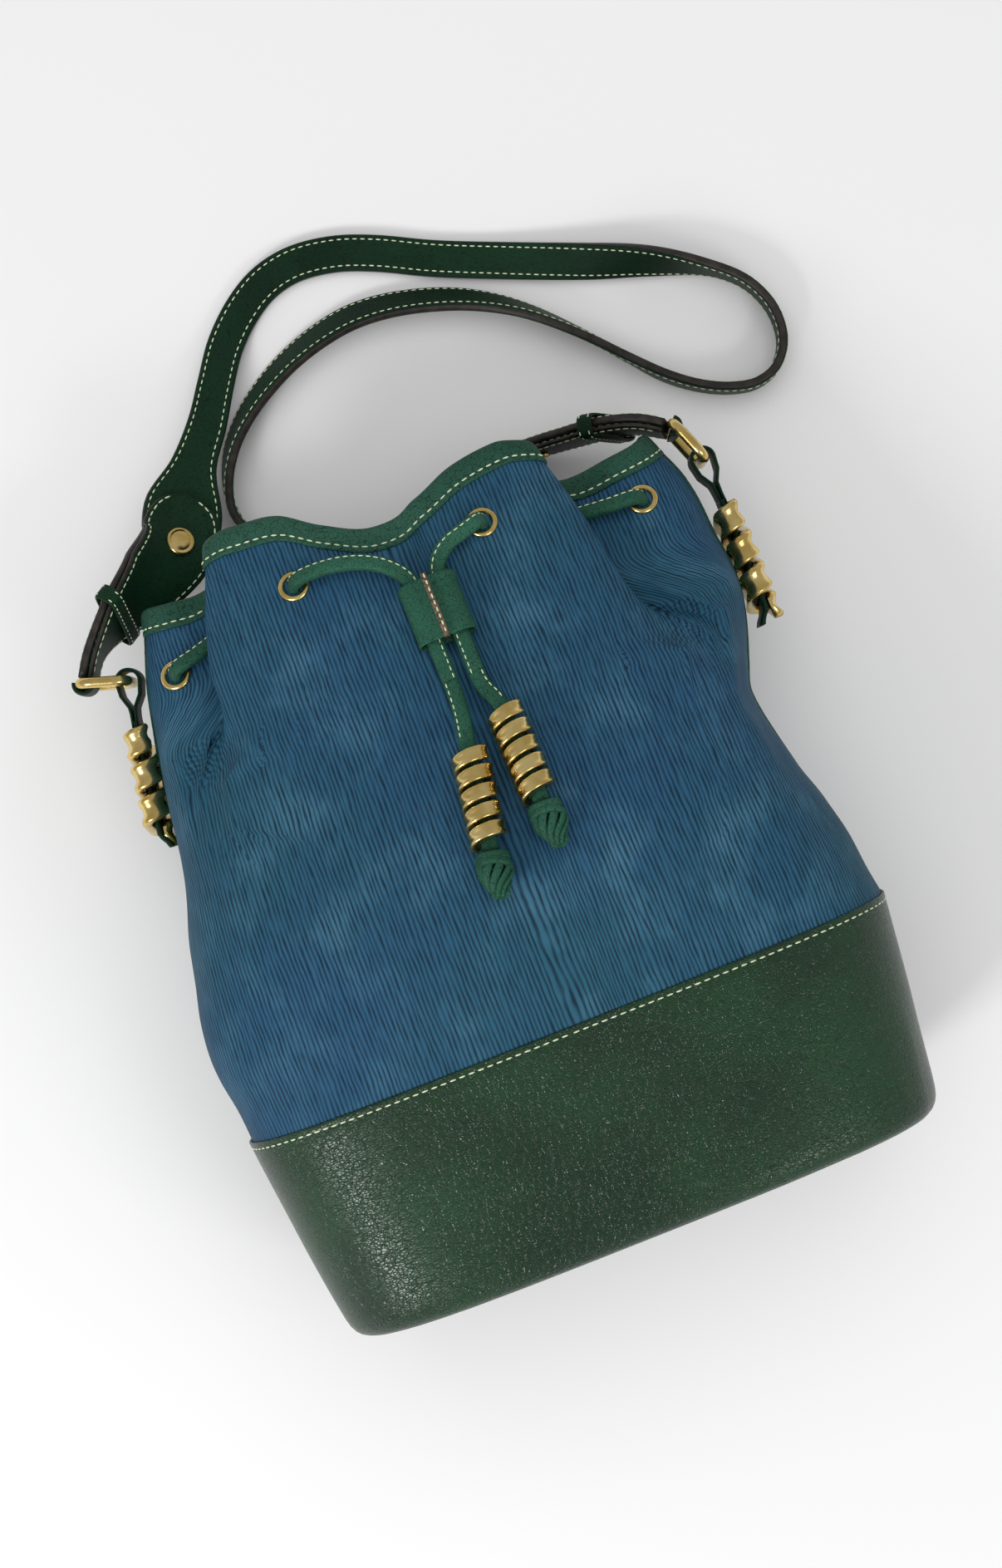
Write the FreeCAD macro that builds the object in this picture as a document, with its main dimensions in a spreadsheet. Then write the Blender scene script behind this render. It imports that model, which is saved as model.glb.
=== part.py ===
import FreeCAD, Part
import math
import os
import Sketcher

# A leather drawstring bucket bag, lying on its back as it is photographed.
# Millimetres, +Z up from the table, the mouth towards +Y, the front of the bag facing up.
# X = 0 is the middle of the bag, Z = 0 is the table, Y = 0 is 150 mm above the bottom of the base.

V = FreeCAD.Vector
doc = FreeCAD.newDocument("bucket_bag")
sheet = doc.addObject("Spreadsheet::Sheet", "Sizes")

SIZES = [
    # the base
    ("base_bottom_place", 150.0, "from the origin down to the bottom face"),
    ("base_height", 88.5, "bottom face to the seam"),
    ("base_half_width", 125.0, "half width at the bottom"),
    ("seam_half_width", 136.0, "half width at the seam"),
    ("bag_depth", 150.5, "front to back at the seam"),
    ("base_inset", 9.0, "how far the bottom is set in, front and back"),
    ("base_leather", 2.4, "leather of the base band"),
    ("bottom_leather", 2.6, "leather of the bottom"),
    ("board_thick", 2.5, "stiffening board"),
    ("board_inset", 5.0, "board edge in from the outside of the base"),
    # the upper body
    ("rim_place", 147.0, "from the origin up to the dip of the rim"),
    ("rim_front_height", 97.0, "front leather above the table at the rim"),
    ("rim_back_height", 8.5, "back leather above the table at the rim"),
    ("front_slope", 0.32, "fall of the front per millimetre near the mouth"),
    ("body_step", 0.8, "the body leather sits back from the base band"),
    ("body_leather", 2.0, "body leather"),
    ("lining_gap", 0.3, "between leather and lining"),
    ("lining_thick", 0.8, "lining cloth"),
    ("table_trim", 1.3, "how deep the back is pressed flat by the table"),
    ("fold_depth", 24.0, "depth of the two gathers at the rim"),
    ("fold_place", 57.0, "from the middle to each gather at the rim"),
    ("fold_ramp", 10.0, "width of the steep side of a gather"),
    # rim and seams
    ("binding_height", 9.5, "binding below the rim"),
    ("binding_thick", 1.2, "leather of the binding"),
    ("binding_clear", 0.05, "between the binding and what it covers"),
    ("strip_half_width", 6.0, "half width of the side strips"),
    ("strip_thick", 1.4, "leather of the side strips"),
    # eyelets
    ("eyelet_bore", 8.0, "hole of an eyelet"),
    ("eyelet_wall", 0.75, "wall of the eyelet tube"),
    ("eyelet_flange", 13.0, "outer flange"),
    ("eyelet_washer", 12.0, "inner flange"),
    ("eyelet_lip", 1.0, "thickness of a flange"),
    ("eyelet_clear", 0.25, "between a flange and the leather or lining"),
    # drawstring
    ("lace", 6.0, "diameter of the leather lace"),
    ("lace_clear", 0.3, "between the lace and what it runs over"),
    ("lace_slack", 1.5, "how far the lace stands off where it turns into an eyelet"),
    ("lace_pair", 10.8, "middle to middle of the two laces in the slider"),
    # slider
    ("slider_width", 24.0, "across both tunnels"),
    ("slider_length", 28.0, "along the laces"),
    ("slider_wall", 1.4, "leather above and below a tunnel"),
    ("slider_place", 106.0, "from the origin to the middle of the slider"),
    ("slider_side", 11.6, "from the middle of the bag to the slider"),
    # beads and knots
    ("bead_outer", 14.0, "diameter over the raised edges of a bead"),
    ("bead_bore_clear", 0.4, "between a bead and its lace"),
    ("bead_pitch", 7.6, "from band to band of a bead"),
    ("bead_band", 5.8, "width of a bead's band"),
    ("bead_turns", 4.6, "turns of a bead"),
    ("bead_waist", 0.9, "how far a band is hollowed"),
    ("knot_length", 18.0, "knot along the lace"),
    ("knot_width", 16.0, "knot across the lace"),
    # side tabs and coils
    ("tab_width", 18.0, "side tab"),
    ("tab_thick", 3.0, "side tab"),
    ("coil_clear", 0.3, "between a coil and its tab"),
    ("coil_thick", 2.0, "wall of a side coil"),
    ("coil_flare", 0.8, "how far the edges of a coil stand up"),
    ("coil_pitch", 14.0, "from band to band of a side coil"),
    ("coil_band", 11.4, "width of a side coil's band"),
    ("coil_turns", 3.0, "turns of a side coil"),
    ("side_height", 52.0, "middle of tabs, coils and rings above the table"),
    # rings
    ("ring_wire", 4.4, "wire of a ring"),
    ("ring_span", 19.0, "bar to bar, middle to middle"),
    ("ring_bar", 30.0, "side to side, middle to middle"),
    ("ring_corner", 5.0, "bend of the wire"),
    ("ring_clear", 0.4, "between a ring's bar and the leather round it"),
    ("loop_leather", 2.4, "leather of a tab loop"),
    # strap
    ("strap_width", 16.0, "shoulder strap"),
    ("strap_thick", 4.0, "shoulder strap"),
    ("fold_thick", 2.4, "leather folded back on the ends of the strap"),
    ("strap_end_width", 20.0, "strap at the rings"),
    ("pad_width", 33.0, "doubled ends of the strap"),
    ("strap_lift", 0.6, "between the strap and the table"),
    ("keeper_length", 7.0, "keeper along the strap"),
    ("keeper_leather", 1.4, "leather of a keeper"),
    ("keeper_clear", 0.7, "between a keeper and the strap"),
    ("rivet_head", 12.0, "rivet head"),
    ("rivet_back", 9.0, "rivet back"),
    ("rivet_stem", 4.0, "rivet stem"),
    ("rivet_dome", 2.2, "height of the rivet head"),
    ("rivet_plate", 1.2, "height of the rivet back"),
    ("rivet_seat", 0.1, "between the rivet and the leather"),
]
for row, (alias, value, meaning) in enumerate(SIZES, start=1):
    sheet.set("A%d" % row, alias)
    sheet.set("B%d" % row, str(value))
    sheet.set("C%d" % row, meaning)
    sheet.setAlias("B%d" % row, alias)
doc.recompute()


def size(alias):
    """Reads one driving dimension from the sheet."""
    return float(getattr(sheet, alias))


BOTTOM = -size("base_bottom_place")
SEAM = BOTTOM + size("base_height")
RIM = size("rim_place")
LACE_R = size("lace") / 2
nodes = []


def keep(node, placement=None):
    """Lists an object as a sub-part of the bag."""
    if placement is not None:
        node.Placement = placement
    nodes.append(node)
    return node


def feature(label, shape, placement=None):
    """A sub-part with a shape made in code, at its own place."""
    node = doc.addObject("Part::Feature", label)
    node.Label = label
    node.Shape = shape
    return keep(node, placement)


def frame_placement(point, along, across):
    """Local Z runs along a direction and local X across it."""
    z_axis = V(along)
    z_axis.normalize()
    x_axis = V(across) - z_axis * V(across).dot(z_axis)
    x_axis.normalize()
    y_axis = z_axis.cross(x_axis)
    return FreeCAD.Placement(
        FreeCAD.Matrix(
            x_axis.x, y_axis.x, z_axis.x, point.x,
            x_axis.y, y_axis.y, z_axis.y, point.y,
            x_axis.z, y_axis.z, z_axis.z, point.z,
            0, 0, 0, 1))


# The shape of the body
# Every section across the bag is a rounded oval. Two gathers press into its front near the mouth.

def smooth(value, low, high):
    """Goes smoothly from 0 at low to 1 at high."""
    share = min(max((value - low) / (high - low), 0.0), 1.0)
    return share * share * (3 - 2 * share)


def through(y, knots):
    """A smooth value along Y through a few chosen pairs of Y and value."""
    if y <= knots[0][0]:
        return knots[0][1]
    if y >= knots[-1][0]:
        return knots[-1][1]
    index = max(i for i in range(len(knots) - 1) if knots[i][0] <= y)
    y0, v0 = knots[index]
    y1, v1 = knots[index + 1]

    def slope(i):
        low, high = max(i - 1, 0), min(i + 1, len(knots) - 1)
        return (knots[high][1] - knots[low][1]) / (knots[high][0] - knots[low][0])

    width = y1 - y0
    u = (y - y0) / width
    a = 2 * u ** 3 - 3 * u ** 2 + 1
    b = u ** 3 - 2 * u ** 2 + u
    c = -2 * u ** 3 + 3 * u ** 2
    d = u ** 3 - u ** 2
    return a * v0 + b * width * slope(index) + c * v1 + d * width * slope(index + 1)


SEAM_HALF = size("seam_half_width")
BASE_HALF = size("base_half_width")
# how far each side stands in from the seam's half width, on the way from the seam to the mouth
LEFT_INSETS = [(0, 0.5), (42, -2), (76, 3), (106, 11), (144, 16.5), (184, 24.5), (212, 33), (240, 38)]
RIGHT_INSETS = [(0, 0), (41, 7), (59, 12), (92, 16.5), (104, 13.5), (132, 6), (156, 6), (185, 9.5),
                (208, 18), (240, 24)]


def half_width(y, side):
    """From the middle to the side of the bag; side is -1 for left and 1 for right."""
    if y <= SEAM:
        share = (y - BOTTOM) / size("base_height")
        return BASE_HALF + (SEAM_HALF - BASE_HALF) * share ** 0.8
    insets = LEFT_INSETS if side < 0 else RIGHT_INSETS
    return SEAM_HALF - through(y - SEAM, insets)


def front_height(y):
    """Top of the front above the table along the middle."""
    if y <= SEAM:
        share = (y - BOTTOM) / size("base_height")
        return size("bag_depth") - size("table_trim") - size("base_inset") * (1 - share ** 0.7)
    near_mouth = size("rim_front_height") + size("front_slope") * (RIM - y)
    seam_height = size("bag_depth") - size("table_trim")
    blend = smooth(y, SEAM, SEAM + 0.62 * (RIM - SEAM))
    low_part = seam_height - 0.10 * (y - SEAM)
    return low_part * (1 - blend) + near_mouth * blend


def back_height(y):
    """The back above the table along the middle, a little below it where the table presses it flat."""
    if y <= SEAM:
        share = (y - BOTTOM) / size("base_height")
        return size("base_inset") * (1 - share) - size("table_trim") * share
    lift = size("rim_back_height") + size("table_trim")
    return lift * smooth(y, RIM - 70, RIM - 24) - size("table_trim")


def squareness(y):
    """High at the base, where the corners are tight, and low at the soft mouth."""
    return 3.6 - 1.0 * smooth(y, SEAM, RIM)


def fold_depth(y):
    return size("fold_depth") * smooth(y, RIM - 105, RIM - 15)


def fold_place(y):
    return size("fold_place") + 34 * (1 - smooth(y, RIM - 100, RIM - 10))


def oval(y, side):
    """Half width, half depth, middle height and squareness of the section at Y."""
    top, low = front_height(y), back_height(y)
    return half_width(y, side), (top - low) / 2, (top + low) / 2, squareness(y)


def skin_height(x, y, front=True):
    """Height of the outer skin above the table."""
    side = -1 if x < 0 else 1
    a, b, middle, power = oval(y, side)
    rise = b * max(1 - min(abs(x) / a, 1.0) ** power, 0.0) ** (1 / power)
    if not front:
        return middle - rise
    start = fold_place(y)
    ramp = size("fold_ramp")
    drop = smooth(abs(x), start, start + ramp)
    valley = start + ramp
    if abs(x) > valley:
        drop = max((a - abs(x)) / (a - valley), 0.0) ** 1.1
    return middle + rise - fold_depth(y) * drop


def half_section(y, side):
    """Points from the middle of the front round one side to the middle of the back."""
    a, b, middle, power = oval(y, side)
    start = fold_place(y)
    valley = start + size("fold_ramp")
    points = []
    for x in (start * 0.5, start * 0.86, start + 1.5, start + size("fold_ramp") / 2, valley):
        points.append((x, skin_height(side * x, y)))
    turn = math.acos((valley / a) ** (power / 2))
    for share in (0.72, 0.47, 0.25, 0.08):
        x = a * math.cos(turn * share) ** (2 / power)
        points.append((x, skin_height(side * x, y)))
    for degrees in (-10, -28, -48, -66):
        angle = math.radians(degrees)
        x = a * math.cos(angle) ** (2 / power)
        points.append((x, skin_height(side * x, y, front=False)))
    return [(side * x, z) for x, z in points]


def ring_points(y):
    """Points of the outer skin right round the bag, from the middle of the front."""
    right, left = half_section(y, 1), half_section(y, -1)
    ring = [(0.0, skin_height(0, y))] + right + [(0.0, skin_height(0, y, front=False))]
    return ring + list(reversed(left))


def shares_round(y):
    """How far round the bag each point lies, so that every section runs alike."""
    ring = ring_points(y)
    steps = [math.dist(ring[i], ring[(i + 1) % len(ring)]) for i in range(len(ring))]
    shares = [0.0]
    for step in steps:
        shares.append(shares[-1] + step / sum(steps))
    return shares


SHARES = shares_round(RIM - 40)


def section(y, inset):
    """A closed curve across the bag, set in from the outer skin."""
    ring = ring_points(y)
    placed = []
    for i, (x, z) in enumerate(ring):
        before, after = ring[i - 1], ring[(i + 1) % len(ring)]
        back_step = V(x - before[0], 0, z - before[1])
        next_step = V(after[0] - x, 0, after[1] - z)
        back_step.normalize()
        next_step.normalize()
        tangent = back_step + next_step
        tangent.normalize()
        inward = V(tangent.z, 0, -tangent.x)
        spot = V(x, y, z) + inward * inset
        placed.append(spot)
    curve = Part.BSplineCurve()
    curve.interpolate(Points=placed, Parameters=SHARES, PeriodicFlag=True)
    return Part.Wire(curve.toShape())


def hull(levels, inset):
    """The filled space inside the skin, from the first level to the last."""
    return Part.makeLoft([section(y, inset) for y in levels], True, False, False, 3)


BASE_LEVELS = [BOTTOM, BOTTOM + 0.3 * size("base_height"), BOTTOM + 0.65 * size("base_height"), SEAM]
BODY_RISE = RIM - SEAM
BODY_LEVELS = [SEAM + share * BODY_RISE for share in (0, 0.17, 0.33, 0.48, 0.6, 0.71, 0.82, 0.91, 1.0)]
BODY_LEVELS.append(RIM + 30)
BIG = 400.0


def slab(y_low, y_high, z_low=-20.0, z_high=200.0):
    return Part.makeBox(BIG, y_high - y_low, z_high - z_low, V(-BIG / 2, y_low, z_low))


above_table = slab(-BIG, BIG, 0.0)

# The rim, seen from above: two peaks beside the gathers and a dip in the middle
corner_left = V(-size("fold_place") - 50, RIM + 6, 0)
corner_right = V(size("fold_place") + 66, RIM - 2, 0)
peak = size("fold_place") + 4
FRONT_RIM = [corner_left, V(-96, RIM + 6.5, 0), V(-78, RIM + 4, 0), V(-peak - 6, RIM + 14, 0),
             V(-peak + 6, RIM + 22, 0), V(-38, RIM + 18, 0), V(-18, RIM + 5, 0), V(0, RIM, 0),
             V(24, RIM + 4, 0), V(50, RIM + 14, 0), V(peak + 4, RIM + 12, 0), V(peak + 17, RIM - 8, 0),
             V(96, RIM - 6, 0), V(108, RIM - 4, 0), corner_right]
BACK_RIM = [corner_left, V(-80, RIM - 1, 0), V(-40, RIM - 5, 0), V(0, RIM - 6, 0), V(45, RIM - 6, 0),
            V(90, RIM - 6, 0), corner_right]


def below_rim(points, drop, z_low, z_high):
    """Everything below the rim's wave, lowered by a drop, between two heights."""
    lowered = [V(p.x, p.y - drop, z_low) for p in points]
    wave = Part.BSplineCurve()
    wave.interpolate(Points=lowered)
    left, right = lowered[0], lowered[-1]
    far_left, far_right = V(-BIG / 2, left.y, z_low), V(BIG / 2, right.y, z_low)
    low_left, low_right = V(-BIG / 2, -BIG / 2, z_low), V(BIG / 2, -BIG / 2, z_low)
    edges = [wave.toShape(), Part.makeLine(right, far_right), Part.makeLine(far_right, low_right),
             Part.makeLine(low_right, low_left), Part.makeLine(low_left, far_left),
             Part.makeLine(far_left, left)]
    return Part.Face(Part.Wire(edges)).extrude(V(0, 0, z_high - z_low))


def trimmed(shape, drop):
    """A shell cut to the wave of the rim, lowered by a drop."""
    split = size("side_height")
    front = shape.common(below_rim(FRONT_RIM, drop, split, 200.0))
    back = shape.common(below_rim(BACK_RIM, drop, -20.0, split))
    return front, back


# The line of the side seams, seen from the side
SIDE_LINE = [(BOTTOM, size("bag_depth") / 2), (SEAM, size("bag_depth") / 2), (RIM - 20, size("side_height")),
             (RIM + 60, size("side_height"))]


def side_band(low_offset, high_offset):
    """All space between two lines parallel to the side seams."""
    outline = [V(-BIG / 2, y, z + high_offset) for y, z in SIDE_LINE]
    outline += [V(-BIG / 2, y, z + low_offset) for y, z in reversed(SIDE_LINE)]
    outline.append(outline[0])
    return Part.Face(Part.makePolygon(outline)).extrude(V(BIG, 0, 0))


body_out = size("body_step")
body_in = body_out + size("body_leather")
lining_out = body_in + size("lining_gap")
lining_in = lining_out + size("lining_thick")
front_half = side_band(0.0, 300.0)
back_half = side_band(-300.0, 0.0)

outer_hull = hull(BODY_LEVELS, body_out)
inner_hull = hull(BODY_LEVELS, body_in)
body_shell = outer_hull.cut(inner_hull)
body_front, body_back = trimmed(body_shell, size("binding_thick") + size("binding_clear"))
panel_front = body_front.common(front_half)
panel_back = body_back.common(back_half).common(above_table)

# Base band, bottom and stiffening board
base_shell = hull(BASE_LEVELS, 0.0).cut(hull(BASE_LEVELS, size("base_leather")))
base_band = base_shell.common(above_table)


def plate(y_low, thick, inset):
    """A flat piece across the bag, with the outline of the section there."""
    return Part.Face(section(y_low, inset)).extrude(V(0, thick, 0))


feature("base_band", base_band)
feature("base_bottom", plate(BOTTOM, size("bottom_leather"), size("base_leather") + 0.2))
board_place = BOTTOM + size("bottom_leather") + 0.1
feature("base_board", plate(board_place, size("board_thick"), size("board_inset")))

# Lining, closed at the board
lining_floor = board_place + size("board_thick") + 0.3
lining_tube = hull(BODY_LEVELS, lining_out).cut(hull(BODY_LEVELS, lining_in))
lining_front, lining_back = trimmed(lining_tube, size("binding_height") + 0.6)
lining = lining_front.fuse(lining_back)
cup_levels = [lining_floor, (lining_floor + SEAM) / 2, SEAM]
cup_space = hull(cup_levels, lining_in).common(slab(lining_floor + size("lining_thick"), BIG))
lining_cup = hull(cup_levels, lining_out).cut(cup_space)

# Binding folded over the rim
binding_out = hull(BODY_LEVELS[-5:], body_out - size("binding_thick"))
binding_in = hull(BODY_LEVELS[-5:], body_in + size("binding_thick"))
binding_tube = binding_out.cut(binding_in)
binding_parts = []
for points, z_low, z_high in ((FRONT_RIM, size("side_height"), 200.0), (BACK_RIM, -20.0, size("side_height"))):
    band = below_rim(points, 0.0, z_low, z_high).cut(
        below_rim(points, size("binding_height"), z_low, z_high))
    binding_parts.append(binding_tube.common(band))
tube = binding_parts[0].fuse(binding_parts[1]).cut(body_front).cut(body_back)
feature("rim_binding", tube)

# Strips over the side seams
strip_hull = hull(BODY_LEVELS, body_out - size("strip_thick"))
strip_tube = strip_hull.cut(outer_hull).common(side_band(-size("strip_half_width"), size("strip_half_width")))
strip_tube = strip_tube.common(slab(SEAM, RIM - size("binding_height") - 6))
for name, x_low in (("left", -BIG / 2), ("right", 0.0)):
    side_space = Part.makeBox(BIG / 2, BIG, BIG, V(x_low, -BIG / 2, -50))
    feature("side_strip_" + name, strip_tube.common(side_space))


# Eyelets

def skin_spot(x, y, front):
    """A place on the outside of the body leather and the way it faces."""
    step = 1.5
    z = skin_height(x, y, front)
    slope_x = (skin_height(x + step, y, front) - skin_height(x - step, y, front)) / (2 * step)
    slope_y = (skin_height(x, y + step, front) - skin_height(x, y - step, front)) / (2 * step)
    facing = V(-slope_x, -slope_y, 1) if front else V(slope_x, slope_y, -1)
    facing.normalize()
    return V(x, y, z) - facing * body_out, facing


EYELETS = [
    ("eyelet_front_left_1", -38.0, 137.0, True),
    ("eyelet_front_left_2", -72.0, 131.0, True),
    ("eyelet_front_left_3", -96.5, 123.0, True),
    ("eyelet_front_right_1", 41.0, 133.0, True),
    ("eyelet_front_right_2", 73.0, 122.0, True),
    ("eyelet_front_right_3", 105.0, 119.5, True),
    ("eyelet_back_left_3", -90.0, 121.0, False),
    ("eyelet_back_left_2", -64.0, 122.0, False),
    ("eyelet_back_left_1", -36.0, 123.0, False),
    ("eyelet_back_right_1", 36.0, 123.0, False),
    ("eyelet_back_right_2", 66.0, 121.0, False),
    ("eyelet_back_right_3", 95.0, 119.0, False),
]
spots = {name: skin_spot(x, y, front) for name, x, y, front in EYELETS}
tube_radius = size("eyelet_bore") / 2 + size("eyelet_wall")
for name, (spot, facing) in spots.items():
    punch = Part.makeCylinder(tube_radius + 0.15, 24, spot - facing * 12, facing)
    if "front" in name:
        panel_front = panel_front.cut(punch)
    else:
        panel_back = panel_back.cut(punch)
    lining = lining.cut(punch)
feature("front_panel", panel_front)
feature("back_panel", panel_back)
feature("lining", lining.fuse(lining_cup))


def new_body(label):
    body = doc.addObject("PartDesign::Body", label)
    body.Label = label
    return body


def flat_plane(body, role):
    """One of the body's own base planes."""
    return next(f for f in body.Origin.OriginFeatures if f.Role == role)


def sketch_on(body, name, role):
    sketch = body.newObject("Sketcher::SketchObject", name)
    sketch.AttachmentSupport = [(flat_plane(body, role), "")]
    sketch.MapMode = "FlatFace"
    return sketch


def tie_point(sketch, line, end, across, up):
    """Ties one end of a line to two sizes, each text for a formula of the sheet."""
    for kind, formula, axis in (("DistanceX", across, -2), ("DistanceY", up, -1)):
        if formula == "0":
            sketch.addConstraint(Sketcher.Constraint("PointOnObject", line, end, axis))
            continue
        point = sketch.getPoint(line, end)
        start = point.x if kind == "DistanceX" else point.y
        index = sketch.addConstraint(Sketcher.Constraint(kind, -1, 1, line, end, start))
        sketch.setExpression("Constraints[%d]" % index, formula)


def outline(sketch, corners):
    """A closed outline whose corners are pairs of formulas of the sheet."""
    spots_now = [V(value_of(across), value_of(up), 0) for across, up in corners]
    lines = []
    for i, spot in enumerate(spots_now):
        after = spots_now[(i + 1) % len(spots_now)]
        lines.append(sketch.addGeometry(Part.LineSegment(spot, after)))
    for i, line in enumerate(lines):
        after = lines[(i + 1) % len(lines)]
        sketch.addConstraint(Sketcher.Constraint("Coincident", line, 2, after, 1))
    for line, (across, up) in zip(lines, corners):
        tie_point(sketch, line, 1, across, up)


def value_of(formula):
    """Works out a formula of the sheet."""
    probe = sheet.evalExpression(formula.replace("Sizes.", ""))
    return float(probe)


def revolved(label, corners, placement):
    """A turned piece from a profile of radius and height pairs."""
    body = new_body(label)
    sketch = sketch_on(body, label + "_profile", "XZ_Plane")
    outline(sketch, corners)
    turned = body.newObject("PartDesign::Revolution", label + "_turned")
    turned.Profile = sketch
    turned.ReferenceAxis = (sketch, ["V_Axis"])
    turned.Angle = 360
    body.Tip = turned
    return keep(body, placement)


bore = "Sizes.eyelet_bore / 2"
tube_out = "(Sizes.eyelet_bore / 2 + Sizes.eyelet_wall)"
lip = "Sizes.eyelet_lip"
grip = ("(Sizes.body_leather + Sizes.lining_gap + Sizes.lining_thick"
        " + 2 * Sizes.eyelet_clear)")
EYELET_PROFILE = [
    (bore, "0"),
    ("Sizes.eyelet_washer / 2", "0"),
    ("Sizes.eyelet_washer / 2", lip),
    (tube_out, lip),
    (tube_out, lip + " + " + grip),
    ("Sizes.eyelet_flange / 2", lip + " + " + grip),
    ("Sizes.eyelet_flange / 2 - 0.7", "2 * " + lip + " + " + grip),
    (bore + " + 0.7", "2 * " + lip + " + " + grip),
    (bore, "1.4 * " + lip + " + " + grip),
]
eyelet_depth = size("eyelet_lip") + size("body_leather") + size("lining_gap") + size("lining_thick")
eyelet_depth += size("eyelet_clear")
for name, (spot, facing) in spots.items():
    side_way = V(0, 1, 0).cross(facing)
    revolved(name, EYELET_PROFILE, frame_placement(spot - facing * eyelet_depth, facing, side_way))


# Laces

def lace_tube(points, radius):
    """A tube along straight runs joined by tangent arcs; prints the tightest arc."""
    edges = []
    start = points[0]
    tightest = None
    for i in range(1, len(points) - 1):
        before, corner, after = points[i - 1], points[i], points[i + 1]
        back_way, next_way = before - corner, after - corner
        shorter = min(back_way.Length, next_way.Length)
        back_way.normalize()
        next_way.normalize()
        opening = back_way.getAngle(next_way)
        half_turn = (math.pi - opening) / 2
        reach = 0.45 * shorter
        arc_radius = reach / math.tan(half_turn)
        tightest = arc_radius if tightest is None else min(tightest, arc_radius)
        if arc_radius < 4.0:
            print("tight arc at", corner, arc_radius)
        arc_start, arc_end = corner + back_way * reach, corner + next_way * reach
        middle_way = back_way + next_way
        middle_way.normalize()
        centre = corner + middle_way * (arc_radius / math.cos(half_turn))
        arc_middle = centre - middle_way * arc_radius
        edges.append(Part.LineSegment(start, arc_start).toShape())
        edges.append(Part.Arc(arc_start, arc_middle, arc_end).toShape())
        start = arc_end
    edges.append(Part.LineSegment(start, points[-1]).toShape())
    path = Part.Wire(edges)
    first_way = points[1] - points[0]
    ring = Part.Wire(Part.makeCircle(radius, points[0], first_way))
    solid = path.makePipeShell([ring], True, False)
    expected = math.pi * radius ** 2 * path.Length
    print("lace length %.1f tightest radius %.1f volume share %.4f"
          % (path.Length, tightest, solid.Volume / expected))
    return solid


flange_top = size("eyelet_clear") + size("eyelet_lip")
over = flange_top + size("lace_clear") + size("lace_slack") + LACE_R
under = eyelet_depth + size("lace_clear") + size("lace_slack") + LACE_R


def outside_of(name):
    spot, facing = spots[name]
    return spot + facing * over


def inside_of(name):
    spot, facing = spots[name]
    return spot - facing * under


def on_front(x, y, rise):
    """A point above the front skin."""
    return V(x, y, skin_height(x, y) + rise)


slider_height = size("lace") + 2 * size("lace_clear") + 2 * size("slider_wall")
slope_way = V(0, -1, size("front_slope"))
slope_way.normalize()
slope_up = V(0, size("front_slope"), 1)
slope_up.normalize()
slider_middle = V(size("slider_side"), size("slider_place"), 0)
slider_middle.z = skin_height(slider_middle.x, slider_middle.y) + slider_height / 2 + 0.5
lace_left_x = -size("lace_pair") / 2
lace_right_x = size("lace_pair") / 2


def in_slider(side_x, along):
    """A point on a lace where it runs straight through the slider."""
    return slider_middle + V(side_x, 0, 0) + slope_way * along


def under_fold(name, toward_middle, lower):
    """A point inside, beside the eyelet in a gather, where the lace comes up to it."""
    spot = inside_of(name)
    return V(spot.x + toward_middle, spot.y + 2.0, spot.z - lower)


split_along = 30.0
left_lace = [
    in_slider(lace_left_x, split_along),
    in_slider(lace_left_x, -19.0),
    on_front(-1.5, 131.0, over),
    on_front(-12.0, 136.5, over - 0.6),
    on_front(-24.0, 139.0, over - 0.4),
    outside_of("eyelet_front_left_1"),
    inside_of("eyelet_front_left_1"),
    under_fold("eyelet_front_left_2", 12.0, 6.0),
    inside_of("eyelet_front_left_2"),
    outside_of("eyelet_front_left_2"),
    on_front(-87.0, 127.0, over + 1.2),
    outside_of("eyelet_front_left_3"),
    inside_of("eyelet_front_left_3"),
    inside_of("eyelet_back_left_3"),
    outside_of("eyelet_back_left_3"),
    outside_of("eyelet_back_left_2"),
    inside_of("eyelet_back_left_2"),
    inside_of("eyelet_back_left_1"),
    outside_of("eyelet_back_left_1"),
]
right_lace = [
    outside_of("eyelet_back_right_1"),
    inside_of("eyelet_back_right_1"),
    inside_of("eyelet_back_right_2"),
    outside_of("eyelet_back_right_2"),
    outside_of("eyelet_back_right_3"),
    inside_of("eyelet_back_right_3"),
    inside_of("eyelet_front_right_3"),
    outside_of("eyelet_front_right_3"),
    on_front(93.0, 121.5, over + 1.2),
    outside_of("eyelet_front_right_2"),
    inside_of("eyelet_front_right_2"),
    under_fold("eyelet_front_right_2", -12.0, 6.0),
    inside_of("eyelet_front_right_1"),
    outside_of("eyelet_front_right_1"),
    on_front(33.0, 131.8, over - 0.2),
    on_front(24.0, 129.5, over),
    in_slider(lace_right_x, -19.0),
    in_slider(lace_right_x, split_along),
]
feature("drawstring", lace_tube(left_lace + right_lace, LACE_R))

# Free ends of the drawstring, with their beads and knots, lie on the front
bead_r = size("bead_outer") / 2
bead_length = size("bead_pitch") * size("bead_turns") + size("bead_band")


def bead_axis(top_x, top_y, low_x, low_y):
    """The line of a bead lying on the front, from its upper end."""
    upper = on_front(top_x, top_y, bead_r + 0.5)
    lower = on_front(low_x, low_y, bead_r + 0.5)
    way = lower - upper
    way.normalize()
    return upper, way


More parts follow.
